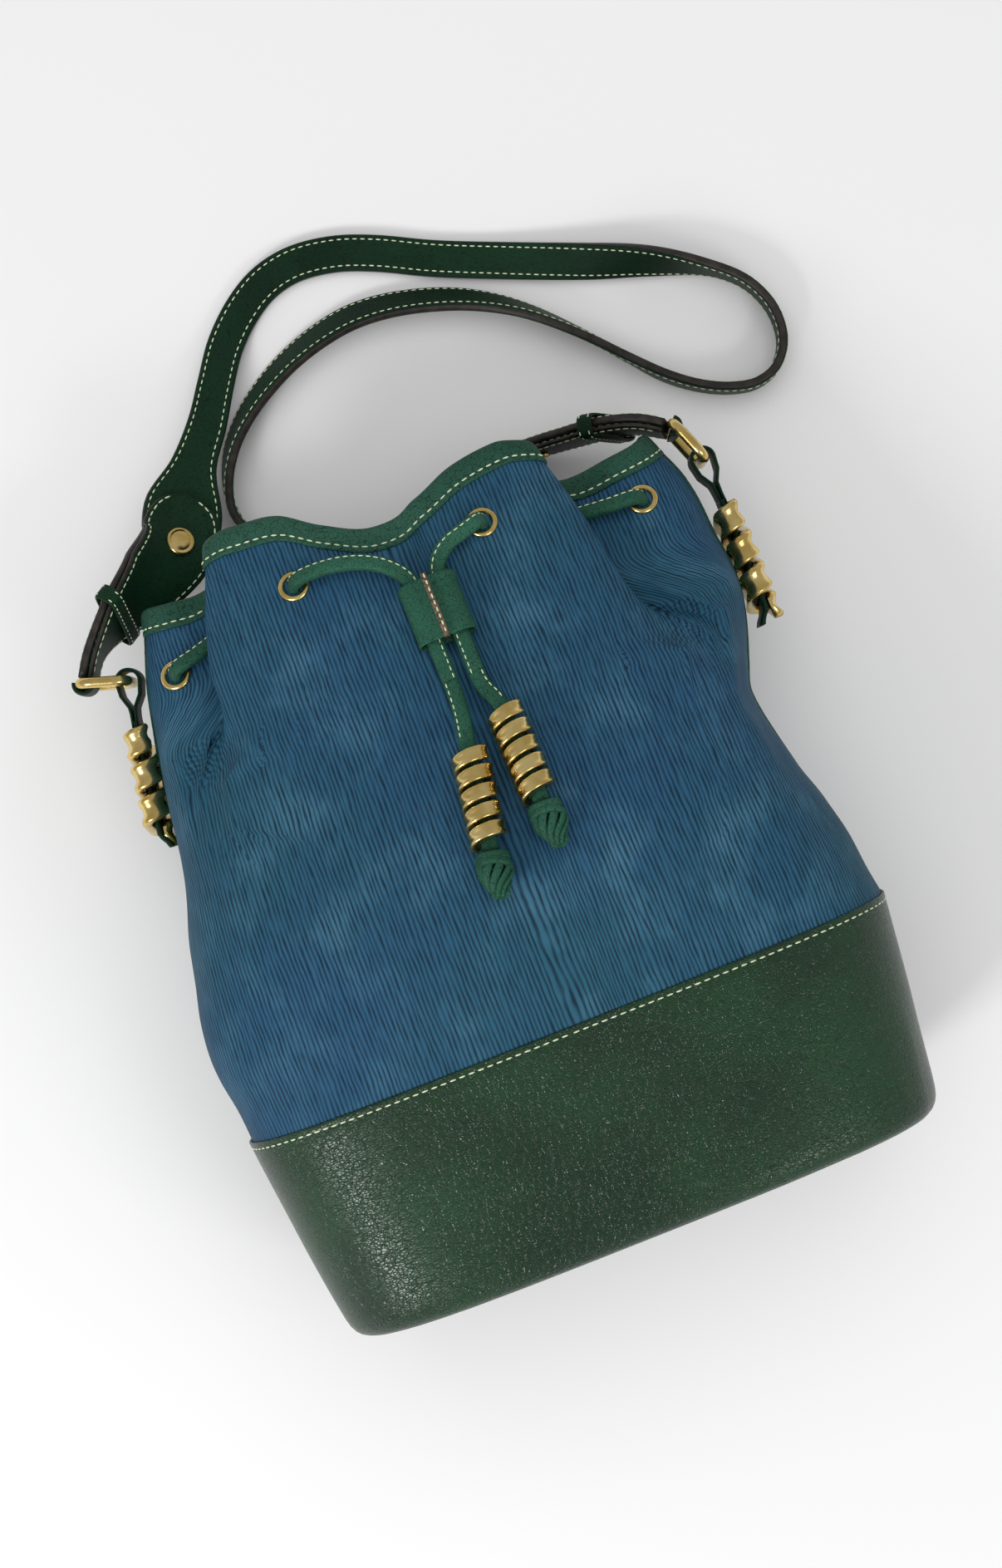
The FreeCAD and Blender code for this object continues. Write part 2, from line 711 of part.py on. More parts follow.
ENDS = {
    "left": (lace_left_x, bead_axis(3.2, 50.5, -3.0, 11.5)),
    "right": (lace_right_x, bead_axis(21.3, 60.8, 21.9, 21.4)),
}
KNOT_PROFILE = [
    ("0", "0"),
    ("Sizes.lace / 2", "0"),
    ("0.44 * Sizes.knot_width", "0.16 * Sizes.knot_length"),
    ("0.5 * Sizes.knot_width", "0.36 * Sizes.knot_length"),
    ("0.48 * Sizes.knot_width", "0.6 * Sizes.knot_length"),
    ("0.34 * Sizes.knot_width", "0.86 * Sizes.knot_length"),
    ("0.16 * Sizes.knot_width", "Sizes.knot_length"),
    ("0", "Sizes.knot_length"),
]
bead_frames = {}
for name, (side_x, (upper, way)) in ENDS.items():
    start = in_slider(side_x, split_along)
    lower = upper + way * (bead_length + 1.0)
    before = upper - way * 3.0
    gap = (before - start).Length
    bend_a = start + slope_way * (0.4 * gap)
    end_points = [start, bend_a, before, lower]
    feature("cord_end_" + name, lace_tube(end_points, LACE_R))
    bead_frames[name] = (upper, way)

    # the knot stops the bead
    revolved("knot_" + name, KNOT_PROFILE, frame_placement(lower, way, V(1, 0, 0)))


# Wound brass bands

def wound_band(profile, turns, pitch, place, steps):
    """A band with a profile of outward and along pairs, wound on a closed path round local Z."""
    count = int(round(turns * steps))
    rings = []
    for i in range(count + 1):
        turn = i / steps
        spot, outward = place(turn)
        rise = V(0, 0, pitch * turn)
        corners = [spot + outward * out + rise + V(0, 0, along) for out, along in profile]
        corners.append(corners[0])
        rings.append(Part.makePolygon(corners))
    return Part.makeLoft(rings, True, True)


def band_gap(profile, pitch, place, steps):
    """Least distance between one turn of a band and the next, on points."""
    least = pitch
    for i in range(steps):
        spot, outward = place(i / steps)
        low = [spot + outward * out + V(0, 0, along) for out, along in profile]
        for j in range(-2, 3):
            next_spot, next_out = place((i + j) / steps)
            rise = V(0, 0, pitch * (1 + j / steps))
            high = [next_spot + next_out * out + V(0, 0, along) + rise for out, along in profile]
            least = min(least, min((a - b).Length for a in low for b in high))
    return least


def hollow_profile(inner, thick, flare, band):
    """A band with raised edges and a hollow middle, like a joint of bamboo."""
    return [
        (inner, 0.0),
        (inner + thick, 0.0),
        (inner + thick, 0.16 * band),
        (inner + thick - flare, 0.40 * band),
        (inner + thick - flare, 0.60 * band),
        (inner + thick, 0.84 * band),
        (inner + thick, band),
        (inner, band),
    ]


def round_place(turn):
    angle = 2 * math.pi * turn
    return V(0, 0, 0), V(math.cos(angle), math.sin(angle), 0)


bead_inner = LACE_R + size("bead_bore_clear")
bead_profile = hollow_profile(bead_inner, bead_r - bead_inner, size("bead_waist"), size("bead_band"))
for name, (upper, way) in bead_frames.items():
    band = wound_band(bead_profile, size("bead_turns"), size("bead_pitch"), round_place, 14)
    feature("bead_" + name, band, frame_placement(upper, way, V(1, 0, 0)))
print("bead gap %.2f" % band_gap(bead_profile, size("bead_pitch"), round_place, 14))

# Side tabs with their coils: each tab stands off the side strip, with its head and foot sewn down
SIDES = {
    "left": (-1, V(-119.8, 119.0, 0), V(-129.6, 58.0, 0)),
    "right": (1, V(137.4, 115.0, 0), V(138.2, 54.0, 0)),
}
strip_seat = hull(BODY_LEVELS, body_out - size("strip_thick") - 0.05)
flat_half = size("tab_width") / 2 - 0.4 * size("tab_thick") / 2


def flat_place(turn):
    """A path round a flat tab: two straight sides and two round ends."""
    whole = turn % 1.0
    quarter = int(whole * 4) % 4
    share = whole * 4 - int(whole * 4)
    if quarter == 0:
        angle = math.pi * (share - 0.5)
        return V(flat_half, 0, 0), V(math.cos(angle), math.sin(angle), 0)
    if quarter == 1:
        return V(flat_half * (1 - 2 * share), 0, 0), V(0, 1, 0)
    if quarter == 2:
        angle = math.pi * (share + 0.5)
        return V(-flat_half, 0, 0), V(math.cos(angle), math.sin(angle), 0)
    return V(-flat_half * (1 - 2 * share), 0, 0), V(0, -1, 0)


coil_inner = size("tab_thick") / 2 + size("coil_clear")
coil_profile = hollow_profile(coil_inner, size("coil_thick") + size("coil_flare"), size("coil_flare"),
                              size("coil_band"))
coil_length = size("coil_pitch") * size("coil_turns") + size("coil_band")
print("side coil gap %.2f" % band_gap(coil_profile, size("coil_pitch"), flat_place, 16))
tab_frames = {}
for name, (side, high, low) in SIDES.items():
    high = V(high.x, high.y, size("side_height"))
    low = V(low.x, low.y, size("side_height"))
    way = low - high
    way.normalize()
    tab_place = frame_placement(high, way, V(0, 0, 1))
    tab_frames[name] = (high, way)
    length = coil_length + 14.0
    head = 6.0
    plate_shape = Part.makeBox(size("tab_width"), size("tab_thick"), length,
                               V(-size("tab_width") / 2, -size("tab_thick") / 2, 0))
    # local Y points away from the bag on the right and towards it on the left, or the other way
    inward_y = (tab_place.Rotation.multVec(V(0, 1, 0)).x) * -side
    start_y = 0.0 if inward_y > 0 else -16.0
    for z_low in (0.0, length - head):
        foot = Part.makeBox(size("tab_width"), 16.0, head, V(-size("tab_width") / 2, start_y, z_low))
        plate_shape = plate_shape.fuse(foot)
    placed = plate_shape.copy()
    placed.Placement = tab_place
    placed = placed.cut(strip_seat)
    feature("side_tab_" + name, placed.removeSplitter())
    coil = wound_band(coil_profile, size("coil_turns"), size("coil_pitch"), flat_place, 16)
    coil_place = frame_placement(high + way * (head + 1.0), way, V(0, 0, 1))
    feature("side_coil_" + name, coil, coil_place)

# Rings: one bar in the loop of the tab, the other in the folded end of the strap
LOOP_R = size("ring_wire") / 2 + size("ring_clear") + size("loop_leather")
RINGS = {
    "left": (V(-117.6, 129.6, 0), V(-0.95, 0.30, 0)),
    "right": (V(136.6, 127.5, 0), V(-0.36, 0.93, 0)),
}


def ring_shape():
    """A rounded frame of wire in the local XZ plane, its first bar on the local Z axis."""
    span, bar, bend = size("ring_span"), size("ring_bar") / 2, size("ring_corner")
    mid = bend * (1 - math.sqrt(0.5))
    corners = [(0, -bar, 1, 1), (0, bar, 1, -1), (span, bar, -1, -1), (span, -bar, -1, 1)]
    arcs = []
    for x, z, step_x, step_z in corners:
        near_bar = V(x, 0, z + bend * step_z)
        near_side = V(x + bend * step_x, 0, z)
        middle = V(x + mid * step_x, 0, z + mid * step_z)
        arcs.append((near_bar, middle, near_side))
    edges = [Part.LineSegment(arcs[0][0], arcs[1][0]).toShape(),
             Part.Arc(*arcs[1]).toShape(),
             Part.LineSegment(arcs[1][2], arcs[2][2]).toShape(),
             Part.Arc(arcs[2][2], arcs[2][1], arcs[2][0]).toShape(),
             Part.LineSegment(arcs[2][0], arcs[3][0]).toShape(),
             Part.Arc(*arcs[3]).toShape(),
             Part.LineSegment(arcs[3][2], arcs[0][2]).toShape(),
             Part.Arc(arcs[0][2], arcs[0][1], arcs[0][0]).toShape()]
    path = Part.Wire(edges)
    wire_ring = Part.Wire(Part.makeCircle(size("ring_wire") / 2, arcs[0][0], V(0, 0, 1)))
    return path.makePipeShell([wire_ring], True, False)


ring_ends = {}
for name, (tab_bar, way) in RINGS.items():
    tab_bar = V(tab_bar.x, tab_bar.y, size("side_height"))
    way.normalize()
    place = frame_placement(tab_bar, V(0, 0, 1), way)
    feature("ring_" + name, ring_shape(), place)
    ring_ends[name] = (tab_bar, tab_bar + way * size("ring_span"))

    # leather loop from the tab's head round the ring's bar
    high, tab_way = tab_frames[name]
    width = size("tab_width")
    eye = Part.makeCylinder(LOOP_R, width, tab_bar - V(0, 0, width / 2), V(0, 0, 1))
    tail_top = tab_bar
    tail_way = high - tail_top
    tail_length = tail_way.Length - 0.3
    tail_way.normalize()
    tail = Part.makeBox(width, size("loop_leather") * 1.6, tail_length,
                        V(-width / 2, -size("loop_leather") * 0.8, 0))
    tail.Placement = frame_placement(tail_top, tail_way, V(0, 0, 1))
    hole = Part.makeCylinder(size("ring_wire") / 2 + size("ring_clear"), width + 2,
                             tab_bar - V(0, 0, width / 2 + 1), V(0, 0, 1))
    head_space = Part.makeBox(60, 60, 200, V(-30, -30, 0))
    head_space.Placement = frame_placement(high - tab_way * 0.3, tab_way, V(0, 0, 1))
    # its root is round, so that it can tip with the ring beside the tab's head
    root_reach = (high - tab_bar).dot(tab_way) - 0.4
    root_space = Part.makeBox(60, 60, 60, V(-30, -30, 3))
    root_space.Placement = frame_placement(tab_bar, tab_way, V(0, 0, 1))
    root_space = root_space.cut(Part.makeCylinder(root_reach, 60, tab_bar - V(30, 0, 0), V(1, 0, 0)))
    loop = eye.fuse(tail).cut(hole).cut(head_space).cut(root_space)
    feature("tab_loop_" + name, loop.removeSplitter())

# Shoulder strap: place, roll (0 flat on the table, 90 on its edge) and width along its length
left_eye, right_eye = ring_ends["left"][1], ring_ends["right"][1]
FLAT, EDGE = 0.0, 90.0
narrow, wide_end, pad = size("strap_width"), size("strap_end_width"), size("pad_width")
# x, y, height above the table where it is held up (None where it lies on it), roll, width
STRAP = [
    (left_eye.x, left_eye.y, left_eye.z, 90, wide_end),
    (-127.5, 147.5, 50.5, 88, 24.0),
    (-113.5, 158.5, 46.5, 70, 31.0),
    (-97.0, 167.5, 38.5, 42, pad),
    (-80.5, 178.0, 29.0, 16, pad),
    (-72.0, 193.5, 23.5, 4, pad),
    (-62.0, 208.0, 21.0, 0, 20.0),
    (-50.5, 223.0, 17.0, 0, 17.0),
    (-40.5, 239.6, 10.0, 0, narrow),
    (-31.0, 254.0, 4.5, 0, narrow),
    (-19.0, 265.5, None, 0, narrow),
    (-6.0, 273.0, None, 0, narrow),
    (9.0, 276.0, None, 0, narrow),
    (26.7, 273.7, None, 0, narrow),
    (43.5, 267.5, None, 0, narrow),
    (66.0, 256.2, None, 0, narrow),
    (92.3, 244.7, None, 4, narrow),
    (125.3, 230.8, None, 22, narrow),
    (151.9, 219.9, None, 52, narrow),
    (174.1, 208.0, None, 84, narrow),
    (187.5, 196.0, None, EDGE, narrow),
    (193.8, 181.5, None, EDGE, narrow),
    (193.0, 167.0, None, EDGE, narrow),
    (186.0, 157.0, None, EDGE, narrow),
    (175.9, 153.6, None, EDGE, narrow),
    (164.5, 155.8, None, EDGE, narrow),
    (152.1, 162.0, None, EDGE, narrow),
    (140.3, 171.3, None, EDGE, narrow),
    (128.5, 184.3, None, 84, narrow),
    (113.6, 201.2, None, 78, narrow),
    (97.1, 217.4, None, 68, narrow),
    (82.5, 228.0, None, 58, narrow),
    (65.8, 236.3, None, 50, narrow),
    (45.1, 242.5, None, 46, narrow),
    (26.8, 244.6, None, 44, narrow),
    (10.5, 242.7, None, 46, narrow),
    (-7.0, 237.4, None, 50, narrow),
    (-21.4, 230.3, None, 54, narrow),
    (-34.3, 221.5, None, 60, narrow),
    (-45.0, 210.5, None, 68, narrow),
    (-52.0, 197.0, None, 80, narrow),
    (-54.0, 183.5, None, EDGE, narrow),
    (-48.5, 170.5, None, EDGE, narrow),
    (-37.0, 160.5, None, EDGE, narrow),
    (-21.0, 154.5, None, EDGE, narrow),
    (-2.0, 152.0, None, EDGE, narrow),
    (20.0, 153.5, None, EDGE, 17.0),
    (40.0, 158.5, None, EDGE, 21.0),
    (58.0, 163.5, 17.8, EDGE, pad),
    (75.0, 162.5, 22.0, EDGE, pad),
    (92.0, 160.0, 31.0, EDGE, pad),
    (106.0, 157.0, 41.0, EDGE, 31.0),
    (118.5, 152.5, 49.0, EDGE, 24.0),
    (right_eye.x, right_eye.y, right_eye.z, EDGE, wide_end),
]
half_thick = size("strap_thick") / 2
fold_top = half_thick + size("fold_thick")


def strap_rest(height, roll, width):
    """Height of the middle of the strap where it rests on the table on one edge."""
    if height is not None:
        return height
    lean = math.radians(roll)
    return abs(math.sin(lean)) * width / 2 + abs(math.cos(lean)) * half_thick + size("strap_lift")


centres = [V(x, y, strap_rest(z, roll, width)) for x, y, z, roll, width in STRAP]
centre_curve = Part.BSplineCurve()
centre_curve.interpolate(Points=centres)
knot_values = [centre_curve.parameter(p) for p in centres]


def strap_frame(index, share=0.0):
    """Middle, way along, width direction, face direction and width at a place of the strap."""
    after = min(index + 1, len(STRAP) - 1)
    parameter = knot_values[index] * (1 - share) + knot_values[after] * share
    middle = centre_curve.value(parameter)
    along = centre_curve.tangent(parameter)[0]
    roll = STRAP[index][3] * (1 - share) + STRAP[after][3] * share
    width = STRAP[index][4] * (1 - share) + STRAP[after][4] * share
    level = V(0, 0, 1).cross(along)
    level.normalize()
    lean = math.radians(roll)
    width_way = level * math.cos(lean) + along.cross(level) * math.sin(lean)
    return middle, along, width_way, along.cross(width_way), width


def strap_ring(index, share, low, high, narrowing=0.0):
    """A four-cornered section of the strap between two depths of leather."""
    middle, along, width_way, face, width = strap_frame(index, share)
    half = width / 2 - narrowing
    corners = [middle + width_way * half + face * low, middle + width_way * half + face * high,
               middle - width_way * half + face * high, middle - width_way * half + face * low]
    corners.append(corners[0])
    return Part.makePolygon(corners)


strap_rings = []
for index in range(len(STRAP) - 1):
    strap_rings.append(strap_ring(index, 0.0, -half_thick, half_thick))
    strap_rings.append(strap_ring(index, 0.5, -half_thick, half_thick))
strap_rings.append(strap_ring(len(STRAP) - 1, 0.0, -half_thick, half_thick))
ribbon = Part.makeLoft(strap_rings, True, True)


def fold_back(indices, end_share):
    """The end of the strap folded back on its face, with a rounded tip."""
    rings = []
    for index in indices:
        for share in (0.0, 0.5):
            rings.append(strap_ring(index, share, half_thick - 0.05, fold_top))
    last = indices[-1]
    for share, narrowing in end_share:
        rings.append(strap_ring(last, share, half_thick - 0.05, fold_top, narrowing))
    return Part.makeLoft(rings, True, True)


left_fold = fold_back([0, 1, 2, 3, 4], ((0.75, 1.5), (0.95, 5.0), (1.0, 8.0)))
last = len(STRAP) - 1


def strap_eye(centre):
    """The turn of the strap round a ring's bar."""
    width = size("strap_end_width")
    radius = size("ring_wire") / 2 + size("ring_clear") + size("fold_thick")
    return Part.makeCylinder(radius, width, centre - V(0, 0, width / 2), V(0, 0, 1))


def mirror_fold():
    rings = []
    for index in (last, last - 1, last - 2, last - 3, last - 4):
        rings.append(strap_ring(index, 0.0, half_thick - 0.05, fold_top))
        rings.append(strap_ring(index - 1, 0.5, half_thick - 0.05, fold_top))
    for share, narrowing in ((0.25, 1.5), (0.08, 5.0), (0.0, 8.0)):
        rings.append(strap_ring(last - 5, share, half_thick - 0.05, fold_top, narrowing))
    return Part.makeLoft(rings, True, True)


strap = ribbon.fuse(left_fold).fuse(mirror_fold())
for centre in (left_eye, right_eye):
    strap = strap.fuse(strap_eye(centre))
for centre in (left_eye, right_eye):
    bar_r = size("ring_wire") / 2 + size("ring_clear")
    strap = strap.cut(Part.makeCylinder(bar_r, 80, centre - V(0, 0, 40), V(0, 0, 1)))

# Rivets through the doubled ends, and keepers round them
RIVET_PROFILE = [
    ("0", "0"),
    ("Sizes.rivet_back / 2", "0"),
    ("Sizes.rivet_back / 2", "Sizes.rivet_plate"),
    ("Sizes.rivet_stem / 2", "Sizes.rivet_plate"),
    ("Sizes.rivet_stem / 2", "Sizes.rivet_plate + Sizes.strap_thick + Sizes.fold_thick + 2 * Sizes.rivet_seat"),
    ("Sizes.rivet_head / 2", "Sizes.rivet_plate + Sizes.strap_thick + Sizes.fold_thick + 2 * Sizes.rivet_seat"),
    ("Sizes.rivet_head / 2",
     "Sizes.rivet_plate + Sizes.strap_thick + Sizes.fold_thick + 2 * Sizes.rivet_seat + Sizes.rivet_dome * 0.5"),
    ("Sizes.rivet_head / 2 - 1.6",
     "Sizes.rivet_plate + Sizes.strap_thick + Sizes.fold_thick + 2 * Sizes.rivet_seat + Sizes.rivet_dome"),
    ("0", "Sizes.rivet_plate + Sizes.strap_thick + Sizes.fold_thick + 2 * Sizes.rivet_seat + Sizes.rivet_dome"),
]
for name, index, share in (("left", 4, 0.0), ("right", last - 4, 0.0)):
    middle, along, width_way, face, width = strap_frame(index, share)
    base = middle - face * (half_thick + size("rivet_seat") + size("rivet_plate"))
    revolved("strap_rivet_" + name, RIVET_PROFILE, frame_placement(base, face, along))
    stem = Part.makeCylinder(size("rivet_stem") / 2 + 0.1, 40, middle - face * 20, face)
    strap = strap.cut(stem)
feature("shoulder_strap", strap)

for name, index, share in (("left", 2, 0.0), ("right", last - 2, 0.0)):
    middle, along, width_way, face, width = strap_frame(index, share)
    body = new_body("strap_keeper_" + name)
    sketch = sketch_on(body, body.Label + "_outline", "XY_Plane")
    half_w = "(Sizes.pad_width / 2 + 1.2 + Sizes.keeper_clear)"
    half_h = "(Sizes.strap_thick / 2 + Sizes.fold_thick / 2 + Sizes.keeper_clear + 0.3)"
    for grow in (" + Sizes.keeper_leather", ""):
        corners = [(-1, -1), (1, -1), (1, 1), (-1, 1)]
        placed = []
        for sign_x, sign_y in corners:
            placed.append(("%d * %s" % (sign_x, "(" + half_w + grow + ")"),
                           "%d * %s" % (sign_y, "(" + half_h + grow + ")")))
        outline(sketch, placed)
    pad_feature = body.newObject("PartDesign::Pad", body.Label + "_pad")
    pad_feature.Profile = sketch
    pad_feature.setExpression("Length", "Sizes.keeper_length")
    body.Tip = pad_feature
    start = middle + face * (size("fold_thick") / 2) - along * (size("keeper_length") / 2)
    keep(body, frame_placement(start, along, width_way))

# Slider: a folded piece of leather with two tunnels and a raised seam between them
slider = new_body("slider")
sketch = sketch_on(slider, "slider_section", "XY_Plane")
half_w = "Sizes.slider_width / 2"
half_h = "(Sizes.lace / 2 + Sizes.lace_clear + Sizes.slider_wall)"
SLIDER_SECTION = [
    ("-1 * " + half_w, "-0.55 * " + half_h), ("-0.8 * " + half_w, "-1 * " + half_h),
    ("0.8 * " + half_w, "-1 * " + half_h), (half_w, "-0.55 * " + half_h),
    (half_w, "0.55 * " + half_h), ("0.8 * " + half_w, half_h),
    ("0.16 * " + half_w, half_h), ("0.09 * " + half_w, "1.22 * " + half_h),
    ("-0.09 * " + half_w, "1.22 * " + half_h), ("-0.16 * " + half_w, half_h),
    ("-0.8 * " + half_w, half_h), ("-1 * " + half_w, "0.55 * " + half_h),
]
outline(sketch, SLIDER_SECTION)
for side in (-1, 1):
    hole = sketch.addGeometry(Part.Circle(V(side * 5, 0, 0), V(0, 0, 1), 3))
    sketch.addConstraint(Sketcher.Constraint("PointOnObject", hole, 3, -1))
    index = sketch.addConstraint(Sketcher.Constraint("DistanceX", -1, 1, hole, 3, side * 5.0))
    sketch.setExpression("Constraints[%d]" % index, "%d * Sizes.lace_pair / 2" % side)
    index = sketch.addConstraint(Sketcher.Constraint("Radius", hole, 3.0))
    sketch.setExpression("Constraints[%d]" % index, "Sizes.lace / 2 + Sizes.lace_clear")
slider_pad = slider.newObject("PartDesign::Pad", "slider_length")
slider_pad.Profile = sketch
slider_pad.setExpression("Length", "Sizes.slider_length")
slider.Tip = slider_pad
slider_start = slider_middle - slope_way * (size("slider_length") / 2)
keep(slider, frame_placement(slider_start, slope_way, V(-1, 0, 0)))

# Check and write every sub-part
doc.recompute()
for item in doc.Objects:
    state = list(item.State)
    if "Invalid" in state or "Error" in state:
        raise RuntimeError("%s is in state %s" % (item.Label, state))
os.makedirs("parts", exist_ok=True)
for node in nodes:
    shape = node.Shape
    if shape.isNull() or not shape.isValid():
        raise RuntimeError("%s has no valid shape" % node.Label)
for node in nodes:
    box = node.Shape.BoundBox
    print("%-24s solids %d volume %9.1f  x %.1f %.1f  y %.1f %.1f  z %.1f %.1f" % (
        node.Label, len(node.Shape.Solids), node.Shape.Volume,
        box.XMin, box.XMax, box.YMin, box.YMax, box.ZMin, box.ZMax))
    node.Shape.exportStep("parts/%s.step" % node.Label)
print("nodes %d" % len(nodes))
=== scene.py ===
# %% [markdown]
# # A drawstring bucket bag in leather and brass
#
# The bag lies on its back on a pale table. Its blue leather has fine upright ribs, its base,
# binding, laces and shoulder strap are green, and its eyelets, rings, beads and coils are brass.
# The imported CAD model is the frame: the two rings and the base board stay as they are, and every
# other piece is modelled here over its CAD solid, in the same place.

# %% Load the frame
import math

import bmesh
import bpy
from mathutils import Matrix, Vector, noise


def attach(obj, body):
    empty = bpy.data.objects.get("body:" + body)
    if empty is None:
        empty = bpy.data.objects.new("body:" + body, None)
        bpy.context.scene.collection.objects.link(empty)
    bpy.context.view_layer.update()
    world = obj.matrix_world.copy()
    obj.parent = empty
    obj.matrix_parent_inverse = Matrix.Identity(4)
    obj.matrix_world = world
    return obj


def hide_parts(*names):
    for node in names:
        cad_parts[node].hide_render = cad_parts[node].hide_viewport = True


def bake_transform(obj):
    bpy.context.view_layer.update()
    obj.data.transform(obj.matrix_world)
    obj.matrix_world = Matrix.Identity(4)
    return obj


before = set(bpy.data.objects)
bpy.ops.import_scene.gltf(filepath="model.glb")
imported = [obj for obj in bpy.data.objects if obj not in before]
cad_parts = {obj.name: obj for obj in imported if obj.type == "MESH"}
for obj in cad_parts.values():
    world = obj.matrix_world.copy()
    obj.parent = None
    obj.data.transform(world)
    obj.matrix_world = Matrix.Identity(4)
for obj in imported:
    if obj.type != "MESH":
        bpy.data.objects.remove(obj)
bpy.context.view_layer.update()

scene = bpy.context.scene
MM = 0.001

# %% [markdown]
# ## Shader maths as plain Python
#
# A material is a graph of nodes. Writing `ribs * 0.6 + grain` is easier to read than wiring it,
# so a small class wraps one socket and its operators add the Math nodes.

# %% A socket that Python's operators work on
class Wire:
    """One output socket of a material's graph."""

    def __init__(self, finish, socket):
        self.finish, self.socket = finish, socket

    def maths(self, operation, first, second=0.0):
        return self.finish.node("ShaderNodeMath", {"operation": operation}, {0: first, 1: second})

    def __add__(self, other):
        return self.maths("ADD", self, other)

    def __radd__(self, other):
        return self.maths("ADD", other, self)

    def __sub__(self, other):
        return self.maths("SUBTRACT", self, other)

    def __rsub__(self, other):
        return self.maths("SUBTRACT", other, self)

    def __mul__(self, other):
        return self.maths("MULTIPLY", self, other)

    def __rmul__(self, other):
        return self.maths("MULTIPLY", other, self)

    def sine(self):
        return self.maths("SINE", self)

    def between(self, low, high):
        """Goes smoothly from 0 at low to 1 at high."""
        return self.finish.node("ShaderNodeMapRange", {"interpolation_type": "SMOOTHSTEP"},
                                {0: self, 1: low, 2: high})


class Finish:
    """A material with one Principled shader, and short ways to feed it."""

    def __init__(self, name):
        self.material = bpy.data.materials.new(name)
        self.material.use_nodes = True
        self.tree = self.material.node_tree
        self.shader = self.tree.nodes["Principled BSDF"]

    def node(self, kind, settings=None, inputs=None, out=0):
        made = self.tree.nodes.new(kind)
        for key, value in (settings or {}).items():
            setattr(made, key, value)
        for key, value in (inputs or {}).items():
            self.feed(made.inputs[key], value)
        return Wire(self, made.outputs[out])

    def feed(self, socket, value):
        if isinstance(value, Wire):
            self.tree.links.new(value.socket, socket)
        else:
            socket.default_value = value

    def place(self, source="Object"):
        """Object coordinates, or the piece's own UV map, in metres."""
        if source == "UV":
            return self.node("ShaderNodeUVMap", {"uv_map": "UVMap"})
        return self.node("ShaderNodeTexCoord", out=3)

    def stretched(self, vector, scale):
        return self.node("ShaderNodeVectorMath", {"operation": "MULTIPLY"}, {0: vector, 1: scale})

    def speckle(self, vector, scale, detail=2.0, warp=0.0):
        return self.node("ShaderNodeTexNoise", None,
                         {"Vector": vector, "Scale": scale, "Detail": detail, "Distortion": warp})

    def creases(self, vector, scale):
        """How far a point is from the edge of its cell, as between the pebbles of a grain."""
        return self.node("ShaderNodeTexVoronoi", {"feature": "DISTANCE_TO_EDGE"},
                         {"Vector": vector, "Scale": scale})

    def mixed(self, share, first, second):
        return self.node("ShaderNodeMix", {"data_type": "RGBA"},
                         {0: share, 6: first, 7: second}, out=2)

    def raised(self, height, depth, strength=1.0):
        """Feeds the normal with a height, whose 1 stands for a depth in millimetres."""
        bump = self.node("ShaderNodeBump", None,
                         {"Height": height, "Distance": depth * MM, "Strength": strength})
        self.feed(self.shader.inputs["Normal"], bump)

    def set(self, **values):
        for key, value in values.items():
            self.feed(self.shader.inputs[key.replace("_", " ")], value)
        return self


def paint(code):
    """A colour from its six-digit screen code, as the shaders count light."""
    parts = [int(code[i:i + 2], 16) / 255 for i in (0, 2, 4)]
    linear = [p / 12.92 if p <= 0.04045 else ((p + 0.055) / 1.055) ** 2.4 for p in parts]
    return (*linear, 1.0)


print("colours read as", [round(part, 3) for part in paint("808080")])

# %% [markdown]
# ## Ribbed blue leather
#
# The ribs are pressed into the hide: upright, a little under 2 mm apart, wandering and here and
# there running together. They follow the leather through its folds, so they are drawn on the UV
# map, which holds the distance round and up the bag in metres. A sine wave gives the pitch, and
# two noises, stretched along the ribs, push it about.

# %% The blue of the body
RIB_PITCH = 0.0018


def make_ribbed_leather():
    leather = Finish("ribbed_blue_leather")
    cloth = leather.place("UV")
    wander = leather.speckle(leather.stretched(cloth, (85.0, 16.0, 1.0)), 1.0, 2.0)
    shiver = leather.speckle(leather.stretched(cloth, (260.0, 70.0, 1.0)), 1.0, 2.0)
    across = leather.node("ShaderNodeSeparateXYZ", None, {0: cloth})
    turns = across * (2 * math.pi / RIB_PITCH) + wander * 7.0 + shiver * 5.2
    wave = turns.sine() * 0.5 + 0.5
    broken = leather.speckle(leather.stretched(cloth, (760.0, 90.0, 1.0)), 1.0, 2.0)
    ribs = wave * 0.5 + broken * 0.7
    cast = leather.speckle(cloth, 9.0, 3.0)
    sheen_patches = leather.speckle(cloth, 34.0, 4.0)
    # Painted shade and painted highlight: the colour follows the rib height, dark in the grooves
    # and lighter on the ridge tops.
    groove_shade = leather.mixed(cast.between(0.35, 0.7), paint("102536"), paint("102732"))
    lit_ridge = leather.mixed(cast.between(0.35, 0.7), paint("234a66"), paint("234e61"))
    # Painted highlight: soft patches of paler blue on the ridges. The same noise also varies the
    # roughness.
    lit_ridge = leather.mixed(sheen_patches.between(0.45, 0.75) * 0.5, lit_ridge, paint("456f86"))
    colour = leather.mixed(ribs.between(0.2, 0.8), groove_shade, lit_ridge)
    leather.set(Base_Color=colour, Roughness=0.52 + sheen_patches * 0.16, Specular_IOR_Level=0.12)
    leather.raised(ribs, 0.42, 0.8)
    return leather.material


ribbed_leather = make_ribbed_leather()
print("made", ribbed_leather.name)

# %% [markdown]
# ## Pebbled green leathers
#
# The base, binding, strap and laces are smooth green leather with a pebbled grain. Cells of a
# Voronoi texture give the pebbles and the creases between them. One function makes them all,
# because only the colours, the size of the pebbles, their depth and the gloss differ. The size
# and the depth are in millimetres.

